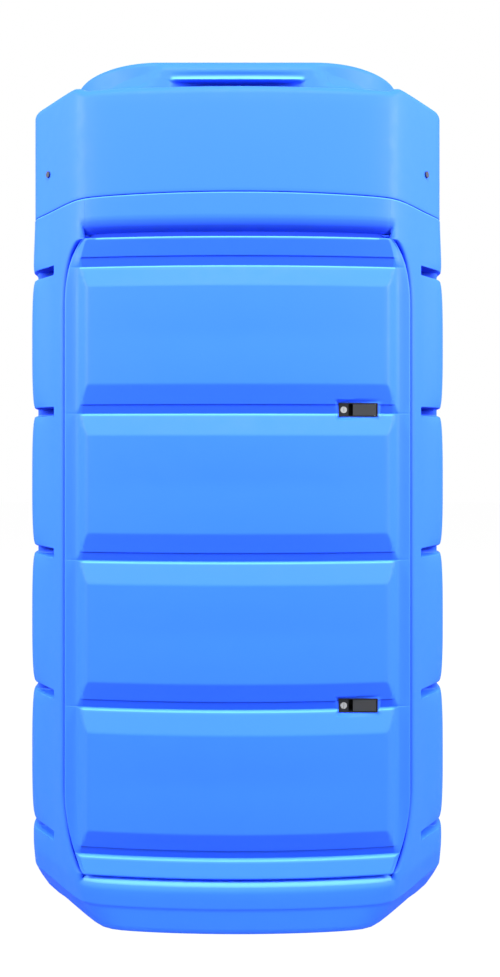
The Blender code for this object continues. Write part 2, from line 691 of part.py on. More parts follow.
def make_door():
    panel = make_door_panel()
    start = FRONT_Y + DOOR_BACK_Y + GAP
    liner = plate("door_liner", door_outline(), start, start + LINER, blue, "Y")
    seal_mid = (DOOR_HALF - PIVOT_INSET + NICHE_HALF) / 2
    low, top = (NICHE_LOW + DOOR_LOW) / 2, (NICHE_TOP + DOOR_TOP) / 2
    frames = []
    for grow in (SEAL_WIDE / 2, -SEAL_WIDE / 2):
        half, down, up = seal_mid + grow, low - grow, top + grow
        frames.append([(half, down + 0.03), (half, up - 0.03), (half - 0.03, up), (-half + 0.03, up), (-half, up - 0.03),
                       (-half, down + 0.03), (-half + 0.03, down), (half - 0.03, down)])
    seal_start = start + LINER + GAP
    seal = plate("door_seal", frames[0], seal_start, seal_start + SEAL_THICK - GAP, rubber, "Y")
    cut(seal, plate("seal_middle", frames[1], seal_start - 0.01, seal_start + SEAL_THICK + 0.01, rubber, "Y"))
    px, py = pivot_place()
    blocks = []
    spans = pivot_spans()
    inner = {"upper": (DOOR_TOP - 0.072, DOOR_TOP - 0.035), "lower": (DOOR_LOW + 0.050, DOOR_LOW + 0.085)}
    for end, (low, high) in inner.items():
        piece = block(f"door_pivot_block_{end}", (px - 0.0080, py - 0.0072, low), (px + 0.0120, start - GAP - 0.0004, high), black)
        bore = rod(f"{end}_pivot_bore", (px, py, spans[end][0] - RUNNING), (px, py, spans[end][1] + RUNNING), PIVOT_RADIUS + RUNNING, black)
        cut(piece, bore)
        cut(panel, bore)
        rod(f"door_pivot_pin_{end}", (px, py, spans[end][0]), (px, py, spans[end][1]), PIVOT_RADIUS, steel)
        blocks.append(piece)
    return panel, liner, seal, blocks


def make_latch(level, panel, liner):
    """A flush latch: housing, hinged paddle on a pin, key barrel and its cam, and the keeper on the frame."""
    z = LATCH_LEVELS[level]
    left, right = LATCH_X - LATCH_WIDE / 2, LATCH_X + LATCH_WIDE / 2
    low, top = z - LATCH_HIGH / 2, z + LATCH_HIGH / 2
    front = FRONT_Y + LATCH_Y
    back = front + LATCH_DEEP
    housing = block(f"latch_housing_{level}", (left, front, low), (right, back, top), black)
    cut(panel, block(f"latch_hole_{level}", (left - GAP, front - 0.03, low - GAP), (right + GAP, back + 0.02, top + GAP), blue))
    lock_x = left + 0.013
    pocket_left = lock_x + LOCK_RADIUS + 0.004
    pocket = block(f"latch_pocket_{level}", (pocket_left, front - 0.01, low + LATCH_WALL),
                   (right - LATCH_WALL, back - LATCH_WALL, top - LATCH_WALL), black)
    keeper_y = FRONT_Y + KEEPER_Y
    cam_y = keeper_y + 0.003 + 0.0005
    barrel_bore = rod(f"barrel_bore_{level}", (lock_x, front - 0.01, z), (lock_x, cam_y, z), LOCK_RADIUS + GAP, black)
    paddle_axis = (right - LATCH_WALL - 0.0045, front + 0.0005 + PADDLE_THICK / 2)
    pin_bore = rod(f"pin_bore_{level}", (*paddle_axis, low - 0.005), (*paddle_axis, top + 0.005), PADDLE_PIN + GAP, black, 12)
    cut(housing, pocket, barrel_bore, pin_bore)
    cut(liner, barrel_bore)
    rod(f"latch_pin_{level}", (*paddle_axis, low + 0.0005), (*paddle_axis, top - 0.0005), PADDLE_PIN, steel, 12)
    paddle = block(f"latch_paddle_{level}", (pocket_left + 0.012, front + 0.0005, low + LATCH_WALL + 0.0007),
                   (right - LATCH_WALL - 0.0016, front + 0.0005 + PADDLE_THICK, top - LATCH_WALL - 0.0007), grey)
    cut(paddle, pin_bore)
    barrel = rod(f"lock_barrel_{level}", (lock_x, front - 0.001, z), (lock_x, cam_y - GAP, z), LOCK_RADIUS, steel)
    key_slot = block(f"key_slot_{level}", (lock_x - 0.0012, front - 0.01, z - 0.005), (lock_x + 0.0012, front + 0.006, z + 0.005), steel)
    cut(barrel, key_slot)
    half = CAM_WIDE / 2
    outline = arc((lock_x, z), half, 180, 360, 7) + [(lock_x + half, z + CAM_LENGTH), (lock_x - half, z + CAM_LENGTH)]
    cam = plate(f"lock_cam_{level}", outline, cam_y, cam_y + CAM_THICK, steel, "Y")
    wall = NICHE_HALF - GAP
    hook = [(wall, keeper_y), (wall - KEEPER_REACH, keeper_y), (wall - KEEPER_REACH, keeper_y + 0.003), (wall - 0.003, keeper_y + 0.003),
            (wall - 0.003, keeper_y + 0.045), (wall, keeper_y + 0.045)]
    plate(f"latch_keeper_{level}", hook, z - KEEPER_HIGH / 2, z + KEEPER_HIGH / 2, steel)
    pivot(f"{level}_lock_axis", (lock_x, front, z), barrel, cam)
    pivot(f"{level}_paddle_axis", (*paddle_axis, z), paddle)


def make_suction_line():
    """The dip tube with its strainer, the pipe over into the cabinet, the shut-off valve and its lever."""
    rise, bend = INNER_TOP + 0.095, 0.045
    valve_low, valve_top = VALVE_Z - 0.030, VALVE_Z + 0.030
    over = [(y, z) for y, z in arc((DIP_Y - bend, rise - bend), bend, 0, 90, 5)]
    down = [(y, z) for y, z in arc((SUCTION_Y + bend, rise - bend), bend, 90, 180, 5)]
    route = [(SUCTION_X, DIP_Y, 0.070)] + [(SUCTION_X, y, z) for y, z in over + down]
    tube("suction_pipe", route + [(SUCTION_X, SUCTION_Y, valve_top + GAP)], PIPE_RADIUS, black)
    turned("foot_strainer", [(0.024, 0.050), (0.024, 0), (0, 0), (0, 0.050)], (SUCTION_X, DIP_Y, 0.070 - GAP - 0.050), steel, 16)
    block("shutoff_valve", (SUCTION_X - 0.022, SUCTION_Y - 0.022, valve_low), (SUCTION_X + 0.022, SUCTION_Y + 0.022, valve_top), brass, 0.004)
    front = SUCTION_Y - 0.022 - GAP
    outline = arc((SUCTION_X, VALVE_Z), 0.012, 180, 360, 7) + [(SUCTION_X + 0.009, VALVE_Z + 0.090), (SUCTION_X - 0.009, VALVE_Z + 0.090)]
    lever = plate("valve_lever", outline, front - 0.006, front, red, "Y")
    pivot("valve_axis", (SUCTION_X, front, VALVE_Z), lever)
    tube("pump_inlet_pipe", [(SUCTION_X, SUCTION_Y, valve_low - GAP), (SUCTION_X, SUCTION_Y, GEAR_Z + 0.060 + GAP)], PIPE_RADIUS, black)


def make_pump():
    wall = NICHE_BACK - GAP
    bracket = block("pump_bracket", (SUCTION_X - 0.200, wall - 0.004, GEAR_Z - 0.090), (SUCTION_X + 0.045, wall, GEAR_Z + 0.090), steel)
    head_left, head_right = SUCTION_X - 0.028, SUCTION_X + 0.028
    block("pump_head", (head_left, SUCTION_Y - 0.055, GEAR_Z - 0.060), (head_right, wall - 0.004 - GAP, GEAR_Z + 0.060), grey, 0.006)
    rod("pump_motor", (head_left - GAP, SUCTION_Y, GEAR_Z), (head_left - 0.150, SUCTION_Y, GEAR_Z), 0.050, black, 28)
    fuse(bracket, block("motor_foot", (head_left - 0.110, SUCTION_Y + 0.0503, GEAR_Z - 0.030), (head_left - 0.040, wall - 0.002, GEAR_Z + 0.030), steel))
    meter_left, meter_right = head_right + 0.085, head_right + 0.185
    rod("meter_pipe", (head_right + GAP, SUCTION_Y, GEAR_Z), (meter_left - GAP, SUCTION_Y, GEAR_Z), PIPE_RADIUS, steel)
    meter_front = SUCTION_Y - 0.040
    block("flow_meter", (meter_left, meter_front, GEAR_Z - 0.055), (meter_right, wall, GEAR_Z + 0.055), black, 0.006)
    middle = (meter_left + meter_right) / 2
    rod("meter_display", (middle, meter_front - GAP, GEAR_Z), (middle, meter_front - 0.014, GEAR_Z), 0.038, clear, 28)
    rod("outlet_barb", (meter_right + GAP, SUCTION_Y, GEAR_Z), (meter_right + 0.045, SUCTION_Y, GEAR_Z), 0.012, brass)


def make_nozzle():
    """A holster on the wall and the filling nozzle that stands in it."""
    wall = NICHE_BACK - GAP
    x, y, low = HOLSTER_X, wall - 0.050, HOLSTER_Z
    holster = block("nozzle_holster", (x - 0.030, y - 0.030, low), (x + 0.030, wall, low + 0.120), black, 0.004)
    cut(holster, rod("holster_socket", (x, y, low + 0.012), (x, y, low + 0.150), 0.0165, black))
    body_low = low + 0.120 + GAP
    nozzle = tube("nozzle_spout", [(x, y, low + 0.0125), (x, y, body_low)], 0.0120, steel)
    outline = [(y - 0.022, body_low + GAP), (y + 0.022, body_low + GAP), (y + 0.022, body_low + 0.080), (y + 0.010, body_low + 0.120)]
    outline += [(y - 0.012, body_low + 0.170), (y - 0.038, body_low + 0.220), (y - 0.066, body_low + 0.205), (y - 0.040, body_low + 0.155)]
    outline += [(y - 0.022, body_low + 0.110)]
    body = plate("nozzle_body", outline, x - 0.018, x + 0.018, black, "X")
    axis = (x, y - 0.022 - 0.008, body_low + 0.075)
    shape = [(-0.004, -0.012), (0.004, -0.012), (0.004, 0.008), (-0.030, 0.085), (-0.038, 0.085), (-0.004, 0.010)]
    trigger = plate("nozzle_trigger", [(axis[1] + a, axis[2] + b) for a, b in shape], x - 0.007, x + 0.007, red, "X")
    pivot("nozzle_axis", (x, y, body_low), nozzle, body)
    pivot("trigger_axis", axis, trigger)


def make_switch():
    wall = NICHE_BACK - GAP
    x, z, front = SWITCH_X, SWITCH_Z, wall - 0.060
    box = block("switch_box", (x - 0.050, front, z - 0.070), (x + 0.050, wall, z + 0.070), grey, 0.005)
    cut(box, block("rocker_slot", (x - 0.0155, front - 0.01, z - 0.0205), (x + 0.0155, front + 0.012, z + 0.0205), grey))
    depth = front + 0.0045
    outline = [(depth - 0.0095, z - 0.019), (depth - 0.007, z), (depth - 0.0060, z + 0.019), (depth + 0.003, z + 0.019), (depth + 0.006, z),
               (depth + 0.003, z - 0.019)]
    rocker = plate("switch_rocker", outline, x - 0.0145, x + 0.0145, red, "X")
    pivot("rocker_axis", (x, depth, z), rocker)


def make_drip_tray():
    low = NICHE_LOW + GAP
    front, back = LAND_Y + 0.015, NICHE_BACK - 0.010
    half = NICHE_HALF - 0.015
    tray = block("drip_tray", (-half, front, low), (half, back, low + 0.045), black)
    cut(tray, block("tray_space", (-half + 0.004, front + 0.004, low + 0.004), (half - 0.004, back - 0.004, low + 0.100), black))


clear_scene()
tank_parts = new_collection("bunded_tank")
cutters = new_collection("cutters")
blue = material("blue_polyethylene", (0.07, 0.29, 0.96), 0.45)
natural = material("natural_polyethylene", (0.80, 0.82, 0.80), 0.50)
black = material("black_plastic", (0.02, 0.02, 0.022), 0.45)
grey = material("grey_plastic", (0.10, 0.105, 0.11), 0.40)
rubber = material("black_rubber", (0.015, 0.015, 0.016), 0.75)
steel = material("zinc_steel", (0.62, 0.63, 0.64), 0.30, 1.0)
brass = material("brass", (0.78, 0.57, 0.25), 0.32, 1.0)
red = material("red_plastic", (0.60, 0.03, 0.02), 0.40)
yellow = material("yellow_plastic", (0.85, 0.62, 0.05), 0.45)
clear = material("clear_plastic", (0.85, 0.88, 0.90), 0.10)

outer = make_outer_tank()
make_inner_tank()
fittings = make_top_fittings()
make_manhole()
top_hood = make_hood()
make_hood_screws(top_hood, outer)
lid = make_lid()
leaves = make_lid_hinges()
pivot("lid_axis", (0, *lid_axis()), lid, *leaves)
door_panel, door_liner, door_seal, pivot_blocks = make_door()
for level in LATCH_LEVELS:
    make_latch(level, door_panel, door_liner)
pivot("door_axis", (*pivot_place(), (DOOR_LOW + DOOR_TOP) / 2), door_panel, door_liner, door_seal, *pivot_blocks)
make_suction_line()
make_pump()
make_nozzle()
make_switch()
make_drip_tray()
pivot("fill_cap_axis", (*TOP_FITTINGS["fill"], INNER_TOP), fittings["fill_cap"])
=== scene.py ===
# Bunded liquid tank with a front cabinet: the looks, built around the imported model. Metres, door towards -Y.
import json
import math

import bmesh
import bpy
import numpy as np
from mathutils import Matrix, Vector


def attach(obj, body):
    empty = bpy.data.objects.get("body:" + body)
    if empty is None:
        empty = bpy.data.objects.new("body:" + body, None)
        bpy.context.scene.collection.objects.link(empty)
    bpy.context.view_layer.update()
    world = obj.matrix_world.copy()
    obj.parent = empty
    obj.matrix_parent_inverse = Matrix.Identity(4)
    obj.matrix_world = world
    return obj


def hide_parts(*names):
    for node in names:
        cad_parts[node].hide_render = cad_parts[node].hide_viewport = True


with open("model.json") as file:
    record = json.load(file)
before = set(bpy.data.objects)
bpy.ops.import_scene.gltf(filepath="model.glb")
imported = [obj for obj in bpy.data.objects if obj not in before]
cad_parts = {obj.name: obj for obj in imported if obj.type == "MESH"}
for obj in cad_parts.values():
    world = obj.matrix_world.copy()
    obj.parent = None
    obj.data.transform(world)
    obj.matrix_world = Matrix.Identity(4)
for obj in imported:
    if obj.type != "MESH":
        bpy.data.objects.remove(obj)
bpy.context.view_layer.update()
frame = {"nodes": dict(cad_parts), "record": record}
print("frame loaded")

# Plan and heights that the moulded skins share
tank = {
    "front": -0.600, "frontHalf": 0.412, "bow": 0.026, "cornerY": -0.375, "sideHalf": 0.579, "backY": 0.579,
    "rearRadius": 0.24, "grooveStart": 0.500, "tuck": 0.036, "tuckShare": 1.55, "bandPitch": 0.3856,
    "bandFirst": 0.1825, "bandCount": 5, "grooveRise": 0.008, "cornerEase": 0.035, "seam": 1.908,
    "spigotTop": 2.045,
}
door = {
    "half": 0.4575, "cornerTop": 0.175, "inTop": 0.064, "cornerLow": 0.20, "inLow": 0.060, "low": 0.137,
    "top": 1.795, "gap": 0.005, "plateauHalf": 0.393, "footHalf": 0.420, "depth": 0.032, "flat": 0.0215,
    "upperSlope": 0.055, "lowerSlope": 0.058, "edgeRadius": 0.006, "backY": -0.4955,
}
niche = {"half": 0.400, "low": 0.170, "top": 1.760, "land": -0.4700, "back": -0.2150, "sideFillet": 0.018,
         "browFillet": 0.052, "sillFillet": 0.030}
latch = {
    "x": 0.315, "wide": 0.102, "high": 0.036, "front": -0.562, "levels": {"upper": 1.3488, "lower": 0.5776}
}
bandLevels = tank["bandFirst"] + tank["bandPitch"] * np.arange(tank["bandCount"])
grooveLevels = bandLevels + tank["grooveRise"]


def smoothStep(low, high, value):
    # 3t^2 - 2t^3 between the two limits
    t = np.clip((value - low) / (high - low), 0, 1)
    return t * t * (3 - 2 * t)


def softClamp(value, k):
    # clamp to 0..1 whose corners are parabolas of half-width k
    low = np.where(value < -k, 0, np.where(value < k, (value + k) ** 2 / (4 * k), value))
    rest = 1 - low
    return 1 - np.where(rest < -k, 0, np.where(rest < k, (rest + k) ** 2 / (4 * k), rest))


def softMin(a, b, k):
    # the smaller of two values, blended where they are closer than k
    h = np.clip(0.5 + 0.5 * (b - a) / k, 0, 1)
    return b + (a - b) * h - k * h * (1 - h)


def meshFromGrid(name, x, y, z, closeAcross=False, closeAlong=False, weld=True, sharp=32, marks=None):
    # rows and columns of points joined by four-sided faces, doubles merged, faces turned outwards; marks are
    # named values from 0 to 1 kept at every point for the material's painted shade and painted highlights
    rows, cols = x.shape
    points = np.stack([x, y, z], axis=-1).reshape(-1, 3)
    r = np.arange(rows if closeAlong else rows - 1)[:, None]
    c = np.arange(cols if closeAcross else cols - 1)[None, :]
    below, above = (r % rows) * cols, ((r + 1) % rows) * cols
    quads = np.stack(
        [below + c, below + (c + 1) % cols, above + (c + 1) % cols, above + c], axis=-1
    ).reshape(-1, 4)
    mesh = bpy.data.meshes.new(name)
    mesh.from_pydata(points.tolist(), [], quads.tolist())
    for label, values in (marks or {}).items():
        layer = mesh.attributes.new(label, "FLOAT", "POINT")
        layer.data.foreach_set("value", np.clip(values, 0, 1).astype(np.float32).reshape(-1))
    if weld:
        work = bmesh.new()
        work.from_mesh(mesh)
        bmesh.ops.remove_doubles(work, verts=work.verts, dist=0.00002)
        bmesh.ops.dissolve_degenerate(work, edges=work.edges, dist=0.00001)
        bmesh.ops.recalc_face_normals(work, faces=work.faces)
        work.to_mesh(mesh)
        work.free()
    mesh.shade_smooth()
    mesh.set_sharp_from_angle(angle=math.radians(sharp))
    obj = bpy.data.objects.new(name, mesh)
    bpy.context.scene.collection.objects.link(obj)
    return obj


def facePoint(obj, outward):
    # turns an open skin round when the face whose normal should look along outward looks the other way
    mesh = obj.data
    normals = np.empty(len(mesh.polygons) * 3)
    areas = np.empty(len(mesh.polygons))
    mesh.polygons.foreach_get("normal", normals)
    mesh.polygons.foreach_get("area", areas)
    side = (normals.reshape(-1, 3) @ np.array(outward) * areas).sum()
    if side < 0:
        mesh.flip_normals()
    return obj


def place(obj, body, slot, material, *nodes):
    obj.data.materials.clear()
    obj.data.materials.append(material)
    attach(obj, body)
    if nodes:
        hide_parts(*nodes)
    return obj


def newGroup(name, inputs, outputs):
    group = bpy.data.node_groups.new(name, "ShaderNodeTree")
    for label, kind, value in inputs:
        made = group.interface.new_socket(label, in_out="INPUT", socket_type=kind)
        made.default_value = value
    for label, kind in outputs:
        group.interface.new_socket(label, in_out="OUTPUT", socket_type=kind)
    return group, group.nodes.new("NodeGroupInput"), group.nodes.new("NodeGroupOutput")


def math2(tree, operation, first, second=None, third=None):
    node = tree.nodes.new("ShaderNodeMath")
    node.operation = operation
    for socket, value in zip(node.inputs, (first, second, third)):
        if value is None:
            continue
        if isinstance(value, (int, float)):
            socket.default_value = value
        else:
            tree.links.new(value, socket)
    return node.outputs[0]


def noise(tree, vector, scale, detail=3.0, roughness=0.5):
    node = tree.nodes.new("ShaderNodeTexNoise")
    node.inputs["Detail"].default_value = detail
    node.inputs["Roughness"].default_value = roughness
    if isinstance(scale, (int, float)):
        node.inputs["Scale"].default_value = scale
    else:
        tree.links.new(scale, node.inputs["Scale"])
    tree.links.new(vector, node.inputs["Vector"])
    return node.outputs["Fac"]


def mixColour(tree, factor, first, second, blend="MIX"):
    node = tree.nodes.new("ShaderNodeMix")
    node.data_type = "RGBA"
    node.blend_type = blend
    for socket, value in ((node.inputs[0], factor), (node.inputs[6], first), (node.inputs[7], second)):
        if isinstance(value, (int, float)):
            socket.default_value = value
        elif isinstance(value, tuple):
            socket.default_value = (*value, 1.0)
        else:
            tree.links.new(value, socket)
    return node.outputs[2]


def makeMouldGroup():
    # moulded plastic: broad tone drift, fine orange peel and small pits; gives colour, roughness, height
    inputs = [("Colour", "NodeSocketColor", (0.5, 0.5, 0.5, 1)), ("Drift", "NodeSocketFloat", 0.06),
              ("Roughness", "NodeSocketFloat", 0.45), ("Peel", "NodeSocketFloat", 180.0)]
    outputs = [("Colour", "NodeSocketColor"), ("Roughness", "NodeSocketFloat"), ("Height", "NodeSocketFloat")]
    group, source, sink = newGroup("mouldFinish", inputs, outputs)
    coords = group.nodes.new("ShaderNodeTexCoord").outputs["Object"]
    broad = noise(group, coords, 2.3, 4.0)
    fine = noise(group, coords, 26.0, 3.0)
    signed = math2(group, "SUBTRACT", broad, 0.5)
    finer = math2(group, "MULTIPLY", math2(group, "SUBTRACT", fine, 0.5), 0.35)
    shift = math2(group, "MULTIPLY", math2(group, "ADD", signed, finer), source.outputs["Drift"])
    gain = math2(group, "ADD", shift, 1.0)
    hue = group.nodes.new("ShaderNodeHueSaturation")
    group.links.new(source.outputs["Colour"], hue.inputs["Color"])
    group.links.new(gain, hue.inputs["Value"])
    group.links.new(hue.outputs["Color"], sink.inputs["Colour"])
    uneven = math2(group, "MULTIPLY", math2(group, "SUBTRACT", fine, 0.5), 0.18)
    rough = math2(group, "ADD", source.outputs["Roughness"], uneven)
    group.links.new(rough, sink.inputs["Roughness"])
    peel = noise(group, coords, source.outputs["Peel"], 2.0, 0.55)
    pits = group.nodes.new("ShaderNodeTexVoronoi")
    pits.inputs["Scale"].default_value = 95.0
    group.links.new(coords, pits.inputs["Vector"])
    pit = math2(group, "MINIMUM", math2(group, "MULTIPLY", pits.outputs["Distance"], 4.0), 1.0)
    height = math2(group, "ADD", math2(group, "MULTIPLY", peel, 0.8), math2(group, "MULTIPLY", pit, 0.2))
    group.links.new(height, sink.inputs["Height"])
    return group


def makeEdgeWearAndHighlightGroup():
    # convex edges found from pointiness, broken up by noise; returns a mask for edge wear and painted
    # highlight
    inputs = [("Start", "NodeSocketFloat", 0.53), ("Amount", "NodeSocketFloat", 0.5)]
    group, source, sink = newGroup("edgeWearAndHighlight", inputs, [("Mask", "NodeSocketFloat")])
    coords = group.nodes.new("ShaderNodeTexCoord").outputs["Object"]
    point = group.nodes.new("ShaderNodeNewGeometry").outputs["Pointiness"]
    past = math2(group, "MAXIMUM", math2(group, "SUBTRACT", point, source.outputs["Start"]), 0.0)
    edge = math2(group, "MULTIPLY", past, 9.0)
    broken = math2(group, "MULTIPLY", edge, math2(group, "ADD", noise(group, coords, 40.0, 4.0), 0.4))
    mask = math2(group, "MINIMUM", math2(group, "MULTIPLY", broken, source.outputs["Amount"]), 1.0)
    group.links.new(mask, sink.inputs["Mask"])
    return group


def makeBrushGroup():
    # drawn or turned metal: streaks along Z on stretched coordinates; gives roughness, height and tone
    outputs = [("Roughness", "NodeSocketFloat"), ("Height", "NodeSocketFloat"), ("Tone", "NodeSocketFloat")]
    group, source, sink = newGroup("brushedMetal", [("Roughness", "NodeSocketFloat", 0.3)], outputs)
    coords = group.nodes.new("ShaderNodeTexCoord").outputs["Object"]
    stretch = group.nodes.new("ShaderNodeMapping")
    stretch.inputs["Scale"].default_value = (420.0, 420.0, 26.0)
    group.links.new(coords, stretch.inputs["Vector"])
    streak = noise(group, stretch.outputs["Vector"], 1.0, 3.0)
    blotch = noise(group, coords, 30.0, 3.0)
    uneven = math2(group, "MULTIPLY", math2(group, "SUBTRACT", streak, 0.5), 0.28)
    rough = math2(group, "ADD", source.outputs["Roughness"], uneven)
    group.links.new(rough, sink.inputs["Roughness"])
    group.links.new(streak, sink.inputs["Height"])
    group.links.new(blotch, sink.inputs["Tone"])
    return group


mouldGroup, edgeWearAndHighlightGroup, brushGroup = makeMouldGroup(), makeEdgeWearAndHighlightGroup(), makeBrushGroup()


def newMaterial(name):
    material = bpy.data.materials.new(name)
    material.use_nodes = True
    tree = material.node_tree
    return material, tree, tree.nodes["Principled BSDF"]


def bumpOn(tree, shader, height, strength, distance):
    bump = tree.nodes.new("ShaderNodeBump")
    bump.inputs["Strength"].default_value = strength
    bump.inputs["Distance"].default_value = distance
    tree.links.new(height, bump.inputs["Height"])
    tree.links.new(bump.outputs["Normal"], shader.inputs["Normal"])


def plastic(name, colour, roughness=0.45, drift=0.06, peel=180.0, bump=0.12, wearAndHighlight=0.3, pale=(0.9, 0.9, 0.9),
            specular=0.5, marked=False):
    # moulded plastic, edges pale from wear and painted highlight; a marked one gets painted shade in its
    # creases and painted highlights on its lips
    material, tree, shader = newMaterial(name)
    mould = tree.nodes.new("ShaderNodeGroup")
    mould.node_tree = mouldGroup
    mould.inputs["Colour"].default_value = (*colour, 1)
    mould.inputs["Drift"].default_value = drift
    mould.inputs["Roughness"].default_value = roughness
    mould.inputs["Peel"].default_value = peel
    edge = tree.nodes.new("ShaderNodeGroup")
    edge.node_tree = edgeWearAndHighlightGroup
    edge.inputs["Amount"].default_value = wearAndHighlight
    # edges paled by the pointiness mask: partly edge wear, partly a painted highlight on convex edges
    base = mixColour(tree, edge.outputs["Mask"], mould.outputs["Colour"], pale)
    rough = mould.outputs["Roughness"]
    if marked:
        shade, paintedHighlight = tree.nodes.new("ShaderNodeAttribute"), tree.nodes.new("ShaderNodeAttribute")
        shade.attribute_name, paintedHighlight.attribute_name = "shade", "paintedHighlight"
        # painted shade: by the shade mark the blue falls to a deep navy, standing in for the shade in creases,
        # gaps and recesses
        base = mixColour(tree, shade.outputs["Fac"], base, (0.0045, 0.030, 0.36))
        # painted highlight: by the second mark the blue turns paler on lips, ledges and rims, as where they
        # catch the light
        base = mixColour(tree, math2(tree, "MULTIPLY", paintedHighlight.outputs["Fac"], 0.85), base, (0.10, 0.36, 1.0))
        rough = math2(tree, "ADD", rough, math2(tree, "MULTIPLY", shade.outputs["Fac"], 0.35))
    tree.links.new(base, shader.inputs["Base Color"])
    tree.links.new(rough, shader.inputs["Roughness"])
    shader.inputs["Specular IOR Level"].default_value = specular
    bumpOn(tree, shader, mould.outputs["Height"], bump, 0.001)
    return material


def metal(name, colour, roughness=0.3, tone=0.12, bump=0.08):
    # plated or turned metal, its tone drifting a little over the piece
    material, tree, shader = newMaterial(name)
    brush = tree.nodes.new("ShaderNodeGroup")
    brush.node_tree = brushGroup
    brush.inputs["Roughness"].default_value = roughness
    darker = tuple(c * (1 - tone * 2) for c in colour)
    tree.links.new(mixColour(tree, brush.outputs["Tone"], darker, colour), shader.inputs["Base Color"])
    tree.links.new(brush.outputs["Roughness"], shader.inputs["Roughness"])
    shader.inputs["Metallic"].default_value = 1.0
    bumpOn(tree, shader, brush.outputs["Height"], bump, 0.0005)
    return material


# the moulded skins' blue: painted shade and painted highlights from their marks, and edges paled partly by
# wear, partly by painted highlight
blueTank = plastic(
    "blueTank", (0.020, 0.122, 0.93), 0.60, 0.06, 150.0, 0.12, 0.6, (0.09, 0.34, 1.0), 0.22, True
)
plainBlue = plastic("plainBlue", (0.020, 0.125, 0.93), 0.50, 0.05, 150.0, 0.10, 0.0, (0.09, 0.34, 1.0), 0.26)
paleTank = plastic("paleTank", (0.72, 0.75, 0.73), 0.48, 0.08, 120.0, 0.12, 0.0, (0.85, 0.86, 0.85))
blackPlastic = plastic(
    "blackPlastic", (0.005, 0.005, 0.007), 0.40, 0.25, 420.0, 0.25, 0.0, (0.05, 0.05, 0.06), 0.35
)
greyPlastic = plastic("greyPlastic", (0.016, 0.017, 0.020), 0.38, 0.2, 420.0, 0.22, 0.0, (0.2, 0.2, 0.21))
redPlastic = plastic("redPlastic", (0.56, 0.022, 0.015), 0.36, 0.12, 300.0, 0.15, 0.0, (0.8, 0.35, 0.3))
yellowPlastic = plastic("yellowPlastic", (0.85, 0.56, 0.03), 0.4, 0.1, 300.0, 0.15, 0.0, (0.95, 0.85, 0.5))
rubber = plastic("rubber", (0.016, 0.016, 0.017), 0.72, 0.3, 260.0, 0.3, 0.0, (0.06, 0.06, 0.06), 0.3)
zincSteel = metal("zincSteel", (0.66, 0.67, 0.69), 0.28)
brassMetal = metal("brassMetal", (0.80, 0.56, 0.22), 0.26)
paintedShadeSteel = metal("paintedShadeSteel", (0.10, 0.10, 0.12), 0.4)
clearPlastic = plastic(
    "clearPlastic", (0.62, 0.68, 0.70), 0.12, 0.05, 60.0, 0.02, 0.0, (0.95, 0.97, 0.98), 0.6
)
slotMaterials = {
    "blue_polyethylene": plainBlue, "natural_polyethylene": paleTank, "black_plastic": blackPlastic,
    "grey_plastic": greyPlastic, "black_rubber": rubber, "zinc_steel": zincSteel, "brass": brassMetal,
    "red_plastic": redPlastic, "yellow_plastic": yellowPlastic, "clear_plastic": clearPlastic,
}
for part in frame["record"]["subparts"]:
    mesh = frame["nodes"][part["node"]].data
    mesh.materials.clear()
    usual = slotMaterials[part["material_slot"]]
    # the hood screws take a dark steel in place of their zinc: painted shade of the recesses they sit in
    mesh.materials.append(paintedShadeSteel if part["node"].startswith("hood_screw") else usual)
print("materials made")


def frontY(x, tuck=0.0):
    # the larger of a shallow parabola and a slanted line, the crease eased; tuck pushes the line back
    x = np.abs(x)
    slope = (tank["cornerY"] - tank["front"] - tank["bow"]) / (tank["sideHalf"] - tank["frontHalf"])
    bowed = tank["front"] + tank["bow"] * (np.minimum(x, tank["frontHalf"]) / tank["frontHalf"]) ** 2
    past = tank["front"] + tank["bow"] + slope * (x - tank["frontHalf"]) + tank["tuckShare"] * tuck - bowed
    return bowed + 0.5 * (past + np.sqrt(past ** 2 + 0.030 ** 2))


def sidePath():
    # from the groove start round the right to the back's middle: slant, eased corner, side, arc, back
    corner = np.array([tank["sideHalf"], tank["cornerY"]])
    slantX = np.linspace(tank["grooveStart"], tank["sideHalf"] - 0.024, 12)
    slant = np.stack([slantX, frontY(slantX)], axis=1)
    t = np.linspace(0, 1, 9)[1:, None]
    bend = (1 - t) ** 2 * slant[-1] + 2 * t * (1 - t) * corner + t ** 2 * (corner + [0, tank["cornerEase"]])
    radius = tank["rearRadius"]
    sideY = np.linspace(tank["cornerY"] + tank["cornerEase"], tank["backY"] - radius, 18)[1:]
    side = np.stack([np.full_like(sideY, tank["sideHalf"]), sideY], axis=1)
    a = np.linspace(0, math.pi / 2, 22)[1:]
    middle = np.array([tank["sideHalf"] - radius, tank["backY"] - radius])
    rear = middle + radius * np.stack([np.cos(a), np.sin(a)], axis=1)
    backX = np.linspace(middle[0], 0, 12)[1:]
    back = np.stack([backX, np.full_like(backX, tank["backY"])], axis=1)
    return np.concatenate([slant, bend, side, rear, back])


def pathNormals(path):
    along = np.gradient(path, axis=0)
    along /= np.linalg.norm(along, axis=1)[:, None]
    return np.stack([along[:, 1], -along[:, 0]], axis=1)


def doorHalf(z):
    # half the door's width by height: straight between long rounded corners, the upper ones rounder
    upper = np.clip((z - (door["top"] - door["cornerTop"])) / door["cornerTop"], 0, 1)
    lower = np.clip((door["low"] + door["cornerLow"] - z) / door["cornerLow"], 0, 1)
    upperIn = door["inTop"] * (1 - (1 - upper ** 2.2) ** 0.5)
    lowerIn = door["inLow"] * (1 - (1 - lower ** 1.7) ** 0.62)
    return door["half"] - upperIn - lowerIn


def grooveShare(z):
    # 1 on the floor of a side groove, 0 on the pillows
    near = np.abs(z[..., None] - grooveLevels).min(axis=-1)
    return 1 - smoothStep(0.0085, 0.0120, near)


